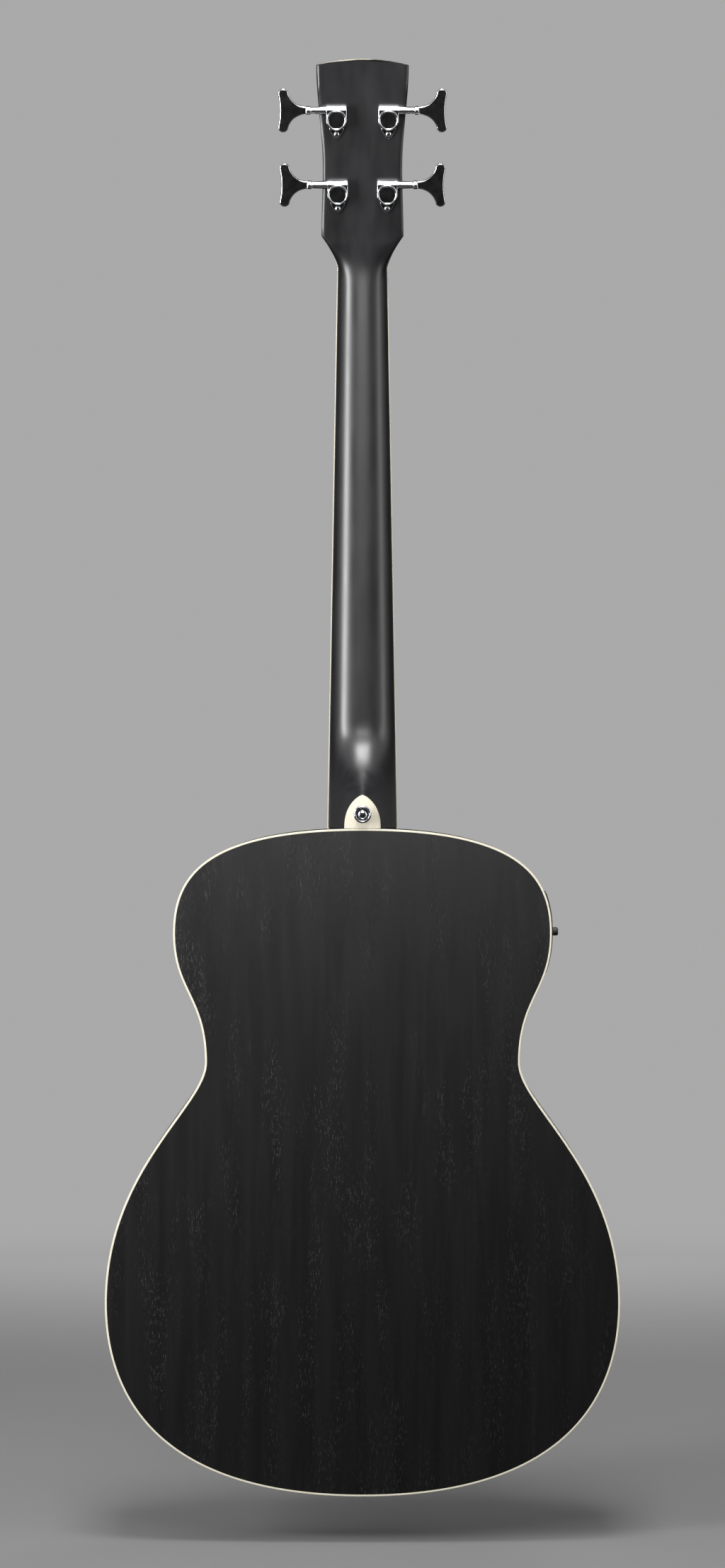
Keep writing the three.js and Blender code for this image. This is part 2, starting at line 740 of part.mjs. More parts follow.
const trapezoid = (inset, top, bottom) => {
  const shape = new THREE.Shape();
  shape.moveTo(neckHalfAt(top) - inset, top);
  shape.lineTo(neckHalfAt(bottom) - inset, bottom);
  shape.lineTo(inset - neckHalfAt(bottom), bottom);
  shape.lineTo(inset - neckHalfAt(top), top);
  return shape;
};
const bindingTop = boardHeight(neckHalfAt(-fretboardLength));
const boardOutline = trapezoid(0, 0, -fretboardLength);
const boardRoom = trapezoid(fretBindingWidth, overrun, fretBindingWidth - fretboardLength);
addPiece(
  "fretboard_binding",
  plate(boardOutline, -bindingTop, -gap).subtract(plate(boardRoom, -fretboardThickness, overrun)),
  ivory,
);

// Strings: each runs from the bridge's rear over saddle and nut to its post
const stringDiameters = { e: 2.54, a: 2.03, d: 1.65, g: 1.14 };
const windingHeight = windingStart + windingLength / 2; // in front of the headstock's face
const headPoint = (x, deep, up) =>
  new THREE.Vector3(
    x,
    deep * Math.cos(tilt) + up * Math.sin(tilt),
    headStart - deep * Math.sin(tilt) + up * Math.cos(tilt),
  );
const stringPath = ({ name, side, aside, up }, index) => {
  const radius = stringDiameters[name] / 2;
  const lane = index - (tunerPlaces.length - 1) / 2;
  const wound = postRadius + 2 * radius;
  const end = headPoint(side * (aside - wound - radius - gap), -windingHeight, up);
  const rear = saddleLine - bridgeRear;
  return {
    radius,
    points: [
      new THREE.Vector3(lane * stringGapAtSaddle, -stringExitHeight - radius, rear),
      new THREE.Vector3(lane * stringGapAtSaddle, -stringFloorAtSaddle - radius, saddleLine),
      new THREE.Vector3(lane * stringGapAtNut, -stringFloorAtNut - radius, 0),
      new THREE.Vector3(lane * stringGapAtNut, -stringFloorAtNut - radius, headStart),
      end,
    ],
  };
};
const tube = (points, radius) =>
  loft(
    points.map((p) =>
      Array.from({ length: stringSides }, (_, i) => {
        const turn = (2 * Math.PI * (i + 1 / 2)) / stringSides;
        return new THREE.Vector3(p.x + radius * Math.cos(turn), p.y + radius * Math.sin(turn), p.z);
      }),
    ),
  );
const stringPaths = tunerPlaces.map(stringPath);
let stringRoom = null;
stringPaths.forEach(({ radius, points }, i) => {
  addPiece("string_" + tunerPlaces[i].name, tube(points, radius), bronze);
  const past = points[0].clone().sub(points[1]).setLength(overrun).add(points[0]);
  const room = tube([past, ...points], radius + gap);
  stringRoom = stringRoom ? stringRoom.add(room) : room;
});
addPiece(
  "nut",
  block([-nutWidth / 2, -nutHeight, gap], [nutWidth / 2, -gap, gap + nutThickness]).subtract(stringRoom),
  bone,
);

// Bridge, saddle and pickup
const saddleTop = stringFloorAtSaddle - gap;
const slotFloor = gap + saddleSlotFloor;
const slotBlock = (halfLength, halfThick, low, high) =>
  block([-halfLength, -high, saddleLine - halfThick], [halfLength, -low, saddleLine + halfThick]);
const bridgeShape = new THREE.Shape();
const bridgeFrontZ = saddleLine + bridgeFront;
const bridgeRearZ = saddleLine - bridgeRear;
bridgeShape.moveTo(-bridgeLength / 2, bridgeRearZ + bridgeCorner);
bridgeShape.quadraticCurveTo(-bridgeLength / 2, bridgeRearZ, bridgeCorner - bridgeLength / 2, bridgeRearZ);
bridgeShape.lineTo(bridgeLength / 2 - bridgeCorner, bridgeRearZ);
bridgeShape.quadraticCurveTo(bridgeLength / 2, bridgeRearZ, bridgeLength / 2, bridgeRearZ + bridgeCorner);
bridgeShape.lineTo(bridgeLength / 2, bridgeFrontZ - bridgeCorner);
bridgeShape.quadraticCurveTo(bridgeLength / 2, bridgeFrontZ, bridgeLength / 2 - bridgeCorner, bridgeFrontZ);
bridgeShape.lineTo(bridgeCorner - bridgeLength / 2, bridgeFrontZ);
bridgeShape.quadraticCurveTo(-bridgeLength / 2, bridgeFrontZ, -bridgeLength / 2, bridgeFrontZ - bridgeCorner);
addPiece(
  "bridge",
  plate(bridgeShape, -gap - bridgeHeight, -gap)
    .subtract(slotBlock(saddleLength / 2 + gap, saddleThickness / 2 + gap, slotFloor, bridgeHeight + overrun))
    .subtract(stringRoom),
  darkWood,
);
const pickupTop = slotFloor + gap + pickupThickness;
const strip = (low, high) => slotBlock(saddleLength / 2, saddleThickness / 2, low, high);
addPiece("pickup", strip(slotFloor + gap, pickupTop), steel);
addPiece("saddle", strip(pickupTop + gap, saddleTop).subtract(stringRoom), bone);

// Strap button on the heel cap, and its cross-head screw
const buttonBase = depthAtHeel + gap;
const buttonFace = buttonBase + buttonHeight;
const heelButton = turned(
  [
    [strapScrewRadius + gap, buttonBase],
    [buttonBaseRadius, buttonBase],
    [buttonWaistRadius, mix(buttonBase, buttonFace, 1 / 4)],
    [buttonWaistRadius, mix(buttonBase, buttonFace, 1 / 2)],
    [buttonFlangeRadius, buttonFace - buttonFlangeThickness],
    [buttonFlangeRadius, buttonFace],
    [cupRadius, buttonFace],
    [cupRadius, buttonFace - cupDepth],
    [strapScrewRadius + gap, buttonFace - cupDepth],
    [strapScrewRadius + gap, buttonBase],
  ],
  jackSides,
);
addPiece("heel_button", heelButton.translate([0, 0, strapScrewZ]), chrome);
const headBase = buttonFace - cupDepth + gap;
const headTop = headBase + strapScrewHeadHeight;
const crossBars = [
  [crossWidth, 2 * strapScrewHeadRadius],
  [2 * strapScrewHeadRadius, crossWidth],
].map(([wide, long]) =>
  block([-wide / 2, headTop - crossDepth, -long / 2], [wide / 2, headTop + overrun, long / 2]),
);
const crossRoom = rod(strapScrewHeadRadius * (2 / 3), 0, headTop + overrun);
const cross = crossBars[0].add(crossBars[1]).intersect(crossRoom);
const strapScrew = turned(
  [
    [0, buttonFace - strapScrewLength],
    [strapScrewRadius, buttonFace - strapScrewLength + strapScrewRadius],
    [strapScrewRadius, headBase],
    [strapScrewHeadRadius, headBase],
    [strapScrewHeadRadius, mix(headBase, headTop, 1 / 2)],
    [strapScrewHeadRadius * (3 / 4), headTop],
    [0, headTop],
  ],
  jackSides,
);
addPiece("heel_screw", strapScrew.subtract(cross).translate([0, 0, strapScrewZ]), chrome);

// Preamp: curved panel on the side, housing behind it, two knobs and a push button
const panelZone = block(
  [-2 * upperBoutHalf, panelMiddle - panelHeight / 2, panelZ - panelLength / 2],
  [0, panelMiddle + panelHeight / 2, panelZ + panelLength / 2],
);
const panelFace = upperBoutHalf + gap + panelThickness;
const alongSide = (solid) => solid.rotate([0, 0, 90]);
const pushPlace = [0, panelMiddle - knobSpacing, panelZ];
const knobPlaces = [
  [0, panelMiddle + knobSpacing, panelZ],
  [0, panelMiddle, panelZ],
];
const panelHole = (radius) =>
  alongSide(rod(radius + runningGap, upperBoutHalf - overrun / 2, panelFace + overrun));
const panelSection = (back) => [
  [-gap, 0],
  [-gap, back],
  [-gap - panelThickness, back],
  [-gap - panelThickness, 0],
];
let panel = bodyBand(bassHalf, panelSection).intersect(panelZone);
for (const place of knobPlaces) panel = panel.subtract(panelHole(knobStemRadius).translate(place));
panel = panel.subtract(panelHole(pushRadius).translate(pushPlace));
addPiece("preamp_panel", panel, blackPlastic);
const preampBody = preampCut(0)
  .intersect(bodyPlate(gap, () => 0, backHeight))
  .subtract(panelHole(pushRadius).translate(pushPlace));
addPiece("preamp_box", preampBody, blackPlastic);
const knob = alongSide(
  turned(
    [
      [0, upperBoutHalf + gap],
      [knobStemRadius, upperBoutHalf + gap],
      [knobStemRadius, panelFace + gap],
      [knobRadius, panelFace + gap],
      [knobRadius, panelFace + gap + knobHeight * (3 / 4)],
      [knobRadius * (3 / 4), panelFace + gap + knobHeight],
      [0, panelFace + gap + knobHeight],
    ],
    rodSides,
  ),
);
addPiece("volume_knob", knob.translate(knobPlaces[0]), blackPlastic);
addPiece("tone_knob", knob.translate(knobPlaces[1]), blackPlastic);
const pushFoot = upperBoutHalf + pushTravel - overrun / 2 + gap;
const push = alongSide(rod(pushRadius, pushFoot, panelFace + pushHeight));
addPiece("tuner_button", push.translate(pushPlace), blackPlastic);

// Output jack, whose flange also takes the strap
const jackProfile = [
  [jackBoreRadius, -jackStandOut],
  [jackFlangeRadius, -jackStandOut],
  [jackFlangeRadius, jackFlangeThickness - jackStandOut],
  [jackWaistRadius, 2 * jackFlangeThickness - jackStandOut],
  [jackWaistRadius, -gap - jackWasherThickness],
  [jackWasherRadius, -gap - jackWasherThickness],
  [jackWasherRadius, -gap],
  [jackBarrelRadius, -gap],
  [jackBarrelRadius, jackBarrelLength],
  [jackBoreRadius, jackBarrelLength],
  [jackBoreRadius, -jackStandOut],
];
const jack = turned(jackProfile, jackSides).rotate([90, 0, 0]).translate([0, jackHeight, bodyTail]);
addPiece("output_jack", jack, chrome);

// Tuners. Each is drawn for the treble side: X runs out to the key, Y out of the headstock's back.
const alongX = (solid) => solid.rotate([0, 0, -90]);
const onWormAxis = (solid) => alongX(solid).translate([0, gearMiddleHeight, wormOffset]);

function tunerHousing() {
  const roof = housingHeight - faceRecess - roofThickness;
  const ring = rod(housingRadius, gap, housingHeight, housingSides);
  const shoulder = block([-housingRadius, gap, 0], [housingRadius, housingHeight, wormOffset]);
  const barrel = onWormAxis(rod(barrelRadius, -housingRadius, housingRadius, barrelSides));
  const stem = onWormAxis(
    turned(
      [
        [0, 0],
        [stemRadius, 0],
        [stemRadius, housingRadius],
        [stemTipRadius, housingRadius + stemLength],
        [0, housingRadius + stemLength],
      ],
      rodSides,
    ),
  );
  const tab = new THREE.Shape();
  tab.moveTo(-tabHalf, 0);
  tab.lineTo(-tabHalf, -housingRadius);
  tab.lineTo(-tabScrewHeadRadius, tabScrewHeadRadius / 2 - tabTip);
  const tabTurn = tabScrewHeadRadius / 2;
  tab.quadraticCurveTo(0, -tabTip - tabTurn, tabScrewHeadRadius, tabTurn - tabTip);
  tab.lineTo(tabHalf, -housingRadius);
  tab.lineTo(tabHalf, 0);
  const wormRoom = wormPitchRadius + wormTipHeight + runningGap;
  const gearRoom = gearRadius + gearModule + runningGap;
  const wormReach = (wormTurns / 2) * wormLead + 2 * runningGap;
  return ring
    .add(shoulder)
    .add(barrel)
    .add(stem)
    .add(plate(tab, gap, gap + tabThickness))
    .subtract(rod(gearRoom, -overrun, roof, housingSides))
    .subtract(rod(faceRadius, housingHeight - faceRecess, housingHeight + overrun, housingSides))
    .subtract(onWormAxis(rod(wormRoom, -wormReach, wormReach, barrelSides)))
    .subtract(onWormAxis(rod(shaftRadius + runningGap, 0, 2 * stemLength + housingRadius, shaftSides)))
    .subtract(rod(tabScrewRadius + gap, -overrun, overrun).translate([0, 0, -screwDown]));
}

// Single-start worm: a sharp helical ridge on a core, with the ridge on the grid's diagonals
function worm() {
  const rows = wormTurns * wormSides;
  const root = wormPitchRadius - wormRootDepth;
  const tip = wormPitchRadius + wormTipHeight;
  const sections = Array.from({ length: rows + 1 }, (_, row) =>
    Array.from({ length: wormSides }, (_, i) => {
      const turn = (2 * Math.PI * i) / wormSides;
      const onRidge = (row - i + wormSides) % wormSides === 0 && row > 0 && row < rows;
      const radius = onRidge ? tip : root;
      const along = (row / rows - 1 / 2) * wormTurns * wormLead;
      // The first corner points at the gear, and the turn runs from there towards the back
      return new THREE.Vector3(along, radius * Math.sin(turn), -radius * Math.cos(turn));
    }),
  );
  return loft(sections).translate([0, gearMiddleHeight, wormOffset]);
}

function keyOutline() {
  const start = housingRadius + stemLength + gap + collarLength;
  const end = start + keyLength;
  const lobeX = end - lobeRadius;
  const lobeZ = keyHalfHeight - lobeRadius;
  const shape = new THREE.Shape();
  shape.moveTo(start, -keyWaistHalf);
  shape.quadraticCurveTo(start + keyLength / 2, -keyWaistHalf, lobeX - lobeRadius, -lobeZ);
  shape.absarc(lobeX, -lobeZ, lobeRadius, Math.PI, 2 * Math.PI, false);
  shape.quadraticCurveTo(end - 2 * keyEdgeHollow, 0, end, lobeZ);
  shape.absarc(lobeX, lobeZ, lobeRadius, 0, Math.PI, false);
  shape.quadraticCurveTo(start + keyLength / 2, keyWaistHalf, start, keyWaistHalf);
  return shape;
}

function tunerKey() {
  const stemEnd = housingRadius + stemLength + gap;
  const collar = onWormAxis(rod(collarRadius, stemEnd, stemEnd + collarLength + gap, barrelSides));
  const wormEnd = (wormTurns / 2) * wormLead;
  const shaftBar = onWormAxis(rod(shaftRadius, wormEnd - gap, stemEnd + gap, shaftSides));
  const button = plate(keyOutline(), -keyThickness / 2, keyThickness / 2);
  return worm()
    .add(shaftBar)
    .add(collar)
    .add(button.translate([0, gearMiddleHeight, wormOffset]));
}

// Worm wheel: teeth whose flanks follow the worm's lead
function gear() {
  const tip = gearRadius + gearModule - gearTipCut;
  const root = gearRadius - gearModule - gearRootCut;
  const pitch = (2 * Math.PI) / gearTeeth;
  const twist = (gearThickness * wormLead) / (4 * Math.PI * wormPitchRadius * gearRadius);
  const ring = (height, turn) =>
    Array.from({ length: gearTeeth }, (_, tooth) => {
      const middle = (tooth + 1 / 2) * pitch + turn;
      return [
        [root, -toothRootShare / 2],
        [tip, -toothTipShare / 2],
        [tip, toothTipShare / 2],
        [root, toothRootShare / 2],
      ].map(([radius, share]) => {
        const angle = middle + share * pitch;
        return new THREE.Vector3(radius * Math.sin(angle), height, radius * Math.cos(angle));
      });
    }).flat();
  const low = gearMiddleHeight - gearThickness / 2;
  return loft([ring(low, -twist), ring(low + gearThickness, twist)]);
}

function tunerPost(stringDiameter) {
  const face = -headThickness;
  const top = face - postStandOut;
  const wound = postRadius + stringDiameter;
  const windStart = face - windingStart;
  const windEnd = windStart - windingLength;
  const body = turned(
    [
      [0, gearMiddleHeight + gearThickness / 2],
      [postRadius, gearMiddleHeight + gearThickness / 2],
      [postRadius, windStart],
      [wound, windStart],
      [wound, windEnd],
      [capstanRadius, windEnd - gap],
      [capstanRadius, top + gap],
      [capstanRadius - gap, top],
      [0, top],
    ].toReversed(),
    postSides,
  );
  const slot = block(
    [-postSlotWidth / 2, top - overrun, -2 * capstanRadius],
    [postSlotWidth / 2, top + postSlotDepth, 2 * capstanRadius],
  );
  return body.add(gear()).subtract(slot);
}

const bushing = turned(
  [
    [postRadius + runningGap, -headThickness - gap],
    [bushingRadius, -headThickness - gap],
    [bushingRadius, -headThickness - bushingThickness / 2],
    [postRadius + 2 * runningGap, -headThickness - bushingThickness],
    [postRadius + runningGap, -headThickness - bushingThickness],
    [postRadius + runningGap, -headThickness - gap],
  ].toReversed(),
  rodSides,
);
const screwSeat = 2 * gap + tabThickness;
const tabScrew = turned(
  [
    [0, screwSeat - tabScrewLength],
    [tabScrewRadius, screwSeat - tabScrewLength + tabScrewRadius],
    [tabScrewRadius, screwSeat],
    [tabScrewHeadRadius, screwSeat],
    [tabScrewHeadRadius * (2 / 3), screwSeat + tabScrewHeadHeight],
    [0, screwSeat + tabScrewHeadHeight],
  ],
  tabScrewSides,
).translate([0, 0, -screwDown]);

const housing = tunerHousing();
const key = tunerKey();
for (const { name, side, aside, up } of tunerPlaces) {
  const tuner = new THREE.Group();
  tuner.position.set(side * aside, headThickness, up);
  tuner.scale.x = side;
  headstock.add(tuner);
  addPiece("tuner_housing_" + name, housing, chrome, tuner);
  addPiece("tuner_key_" + name, key, chrome, tuner);
  addPiece("tuner_post_" + name, tunerPost(stringDiameters[name]), chrome, tuner);
  addPiece("tuner_bushing_" + name, bushing, chrome, tuner);
  addPiece("tuner_screw_" + name, tabScrew, chrome, tuner);
}

export default guitar;
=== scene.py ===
# %% [markdown]
# An acoustic bass guitar, seen from its back. The frame holds every piece at its real size and place.
# This lesson gives each of them its fine shape and its finish, one small step at a time.
# The frame is loaded first, because everything that follows is measured from it.

# %% Load the frame
import json
import math

import bpy
from mathutils import Matrix, Vector
from mathutils.geometry import interpolate_bezier

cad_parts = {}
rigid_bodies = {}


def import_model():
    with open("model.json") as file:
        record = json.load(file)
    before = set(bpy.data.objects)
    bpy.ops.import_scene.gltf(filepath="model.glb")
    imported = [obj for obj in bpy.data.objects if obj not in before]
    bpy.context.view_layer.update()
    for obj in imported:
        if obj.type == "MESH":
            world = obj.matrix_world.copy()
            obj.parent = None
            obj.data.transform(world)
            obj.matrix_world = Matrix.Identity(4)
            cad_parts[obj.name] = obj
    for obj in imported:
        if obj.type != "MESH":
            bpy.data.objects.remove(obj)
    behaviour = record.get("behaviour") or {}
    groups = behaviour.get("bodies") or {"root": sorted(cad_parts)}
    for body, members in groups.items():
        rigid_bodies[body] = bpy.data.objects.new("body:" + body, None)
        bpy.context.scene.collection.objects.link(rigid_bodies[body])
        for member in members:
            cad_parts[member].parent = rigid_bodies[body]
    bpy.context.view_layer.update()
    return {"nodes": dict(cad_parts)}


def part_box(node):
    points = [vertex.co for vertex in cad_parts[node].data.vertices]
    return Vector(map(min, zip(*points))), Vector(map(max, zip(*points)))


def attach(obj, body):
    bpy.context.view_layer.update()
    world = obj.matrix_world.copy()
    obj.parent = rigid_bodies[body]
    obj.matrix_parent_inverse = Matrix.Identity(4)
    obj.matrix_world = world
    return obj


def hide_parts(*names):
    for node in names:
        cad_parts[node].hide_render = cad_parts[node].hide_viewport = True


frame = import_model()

mm = 0.001

# %% [markdown]
# The camera comes before the pieces. The picture was taken square to the back, from about four metres,
# with a long lens, so a long lens at that distance gives the same slight perspective.

# %% Camera
camera_distance = 4.1  # metres, from the back plate
back_plane = 0.11
camera_height = -0.434
lens_length = 114  # millimetres
sensor_length = 36  # millimetres, along its long side
bpy.ops.object.camera_add(
    location=(0, back_plane + camera_distance, camera_height),
    rotation=(math.radians(90), 0, math.radians(180)),
)
camera = bpy.context.object
camera.data.lens = lens_length
camera.data.sensor_width = sensor_length
camera.data.dof.use_dof = False
bpy.context.scene.camera = camera
print("camera:", tuple(round(value, 3) for value in camera.location))

# %% [markdown]
# A few helpers for the modelling. Operators act on all that is selected, so each step starts by
# deselecting everything, and a small function picks faces by their place and their normal.

# %% Helpers for modelling
def deselect():
    bpy.ops.object.select_all(action="DESELECT")


def activate(piece):
    deselect()
    piece.select_set(True)
    bpy.context.view_layer.objects.active = piece


def named(name):
    piece = bpy.context.object
    piece.name = name
    piece.data.name = name
    return piece


def edit(piece):
    """Opens the piece in edit mode with everything selected."""
    activate(piece)
    bpy.ops.object.mode_set(mode="EDIT")
    bpy.ops.mesh.select_all(action="SELECT")


def leave_edit():
    bpy.ops.object.mode_set(mode="OBJECT")


def face_outwards():
    """Turns every face of the piece in edit mode outwards."""
    bpy.ops.mesh.select_all(action="SELECT")
    bpy.ops.mesh.normals_make_consistent(inside=False)


def settle(piece):
    """Puts the piece's place, turn and size into its mesh."""
    activate(piece)
    bpy.ops.object.transform_apply(location=True, rotation=True, scale=True)
    return piece


def extrude(move):
    """Extrudes what is selected in edit mode."""
    bpy.ops.mesh.extrude_region_move(TRANSFORM_OT_translate={"value": move})


def pick(piece, part, test):
    """Opens edit mode with only the faces or edges selected whose middle and normal pass the test."""
    edit(piece)
    bpy.ops.mesh.select_mode(type="FACE" if part == "faces" else "EDGE")
    bpy.ops.mesh.select_all(action="DESELECT")
    leave_edit()
    mesh = piece.data
    if part == "faces":
        for face in mesh.polygons:
            face.select = test(face.center, face.normal)
    else:
        for edge in mesh.edges:
            a, b = (mesh.vertices[i].co for i in edge.vertices)
            edge.select = test((a + b) / 2, (b - a).normalized())
    bpy.ops.object.mode_set(mode="EDIT")


def apply_modifier(piece, kind, **settings):
    activate(piece)
    modifier = piece.modifiers.new(kind.title(), kind)
    for name, value in settings.items():
        setattr(modifier, name, value)
    bpy.ops.object.modifier_apply(modifier=modifier.name)


def cut(piece, tool):
    """Takes the tool's shape out of the piece and deletes the tool."""
    apply_modifier(piece, "BOOLEAN", operation="DIFFERENCE", solver="EXACT", object=tool)
    bpy.data.objects.remove(tool)


def joined(name, pieces):
    """Makes one piece of several."""
    deselect()
    for piece in pieces:
        piece.select_set(True)
    bpy.context.view_layer.objects.active = pieces[0]
    bpy.ops.object.join()
    return named(name)


def mix(a, b, share):
    return a + (b - a) * share


def eased(share):
    """A share that starts and ends softly."""
    return share * share * (3 - 2 * share)


print("helpers ready")

# %% [markdown]
# Long pieces such as the neck, a binding or a string are one skin over many cross-sections. By hand one
# adds a circle for each section, drags its points into place and bridges the circles. The next
# function does the same, with the points' places worked out from the piece's sizes.

# %% Skin over cross-sections
same_place = 0.01 * mm  # points nearer than this are one point


def skin(name, sections, closed=False):
    """A surface over sections of equally many points. A closed one joins its last section to its first."""
    count = len(sections[0])
    deselect()
    bpy.ops.mesh.primitive_circle_add(vertices=count)
    piece = named(name)
    bpy.ops.object.mode_set(mode="EDIT")
    for _ in sections[1:]:
        bpy.ops.mesh.primitive_circle_add(vertices=count)
    leave_edit()
    places = [place for section in sections for place in section]
    for vertex, place in zip(piece.data.vertices, places):
        vertex.co = place
    edit(piece)
    bpy.ops.mesh.bridge_edge_loops(type="CLOSED" if closed else "SINGLE")
    if not closed:
        bpy.ops.mesh.select_all(action="SELECT")
        bpy.ops.mesh.fill_holes(sides=0)
    leave_edit()
    return piece


def plate(name, outline, y_from, y_to):
    """A flat plate over an outline of X and Z, between two heights."""
    deselect()
    bpy.ops.mesh.primitive_circle_add(vertices=len(outline), fill_type="NGON")
    piece = named(name)
    for vertex, (x, z) in zip(piece.data.vertices, outline):
        vertex.co = (x, y_from, z)
    edit(piece)
    extrude((0, y_to - y_from, 0))
    face_outwards()
    leave_edit()
    return piece


def turned(name, profile, steps=48):
    """A turned piece about the Y axis, spun from a closed profile of radius and height."""
    deselect()
    bpy.ops.mesh.primitive_circle_add(vertices=len(profile))
    piece = named(name)
    for vertex, (radius, height) in zip(piece.data.vertices, profile):
        vertex.co = (radius, height, 0)
    edit(piece)
    bpy.ops.mesh.spin(steps=steps, angle=math.radians(360), center=(0, 0, 0), axis=(0, 1, 0))
    bpy.ops.mesh.select_all(action="SELECT")
    bpy.ops.mesh.remove_doubles(threshold=same_place / 2)
    bpy.ops.mesh.delete_loose()
    face_outwards()
    leave_edit()
    return piece


def box_between(name, low, high):
    """A block between two corners."""
    low, high = Vector(low), Vector(high)
    deselect()
    bpy.ops.mesh.primitive_cube_add(size=1, location=(low + high) / 2)
    piece = named(name)
    piece.scale = high - low
    return settle(piece)


def tidied(piece):
    """Merges the points that a boolean leaves almost in one place, and closes what is still open."""
    edit(piece)
    bpy.ops.mesh.remove_doubles(threshold=same_place)
    bpy.ops.mesh.dissolve_degenerate(threshold=same_place / 2)
    bpy.ops.mesh.select_all(action="SELECT")
    bpy.ops.mesh.fill_holes(sides=0)
    face_outwards()
    leave_edit()
    return piece


def cross_cut(screw, arm_width, arm_length, top, depth):
    """Cuts a cross for a screwdriver into the top of a screw."""
    arm, reach = arm_width / 2, arm_length / 2
    corners = [(reach, arm), (arm, arm), (arm, reach)]
    cross = corners + [(-x, z) for x, z in corners[::-1]]
    cross += [(-x, -z) for x, z in cross]
    cut(screw, plate("cross_bit", cross, top - depth, top + mm))
    return tidied(screw)


def lies_flat(along):
    """Whether an edge runs across Y, and not along it."""
    return abs(along.y) < 0.5


def bevel_picked(offset, segments=3):
    """Rounds the edges that are selected, and leaves edit mode."""
    bpy.ops.mesh.bevel(offset=offset, segments=segments, affect="EDGES", clamp_overlap=True)
    leave_edit()


print("shape makers ready")

# %% [markdown]
# Every finished piece is treated alike: its place goes into its mesh, its faces point outwards, round
# parts are smooth and edges stay crisp, and it rides on the body of the frame that carries it.

# %% Finishing a piece
def complete(piece, body, finishes, nodes=(), smooth_below=32, weighted=False):
    """Gives a piece its finish, hangs it on its body and hides the nodes of the frame that it stands for."""
    settle(piece)
    edit(piece)
    face_outwards()
    leave_edit()
    bpy.ops.object.shade_smooth_by_angle(angle=math.radians(smooth_below))
    if weighted:
        apply_modifier(piece, "WEIGHTED_NORMAL", keep_sharp=True)
    if not piece.data.materials:
        for finish in finishes:
            piece.data.materials.append(finish)
    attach(piece, body)
    if nodes:
        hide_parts(*nodes)
    print(f"{piece.name}: {len(piece.data.polygons)} faces on {body}")
    return piece

# %% [markdown]
# Materials are made with four small functions: one turns a hex colour into Blender's linear colour, one
# adds a node with its settings and links, one gives texture coordinates in real millimetres, and one
# starts a material with its shader.

# %% Helpers for materials
def colour(hex_code):
    channels = [int(hex_code[i : i + 2], 16) / 255 for i in (1, 3, 5)]
    linear = [c / 12.92 if c <= 0.04045 else ((c + 0.055) / 1.055) ** 2.4 for c in channels]
    return (*linear, 1)


def add_node(tree, kind, inputs=None, **settings):
    """Adds a node, sets its options, and gives each named input a value or a link."""
    node = tree.nodes.new("ShaderNode" + kind)
    for name, value in settings.items():
        setattr(node, name, value)
    for name, value in (inputs or {}).items():
        if isinstance(value, bpy.types.NodeSocket):
            tree.links.new(value, node.inputs[name])
        else:
            node.inputs[name].default_value = value
    return node


def in_millimetres(tree, sizes, source="Object"):
    """Texture coordinates that grow by one over the given number of millimetres along each axis."""
    place = add_node(tree, "TexCoord").outputs[source]
    scale = [1 / (size * mm) for size in sizes]
    return add_node(tree, "Mapping", {"Vector": place, "Scale": scale}).outputs["Vector"]


def start_material(name, base, roughness, metallic=0.0, ior=1.5):
    """A new material with its node tree and its shader."""
    made = bpy.data.materials.new(name)
    made.use_nodes = True
    shader = made.node_tree.nodes["Principled BSDF"]
    shader.inputs["Base Color"].default_value = colour(base)
    shader.inputs["Roughness"].default_value = roughness
    shader.inputs["Metallic"].default_value = metallic
    shader.inputs["IOR"].default_value = ior
    return made, made.node_tree, shader


print("material helpers ready")

# %% [markdown]
# The body is open-pored wood of the mahogany kind, stained black under a thin satin lacquer. The eye
# sees fine short pores along the grain, a faint broad figure, and a dull sheen. The pores are real, and
# their colour is slightly lighter than the ground: that lighter tone is a painted glint. Stretched noise
# gives the pores, and a second noise lets them come and go, as they do in real wood.

# %% Open-pored wood
patch_mm = (18, 90)  # across and along the grain
figure_mm = (9, 160)


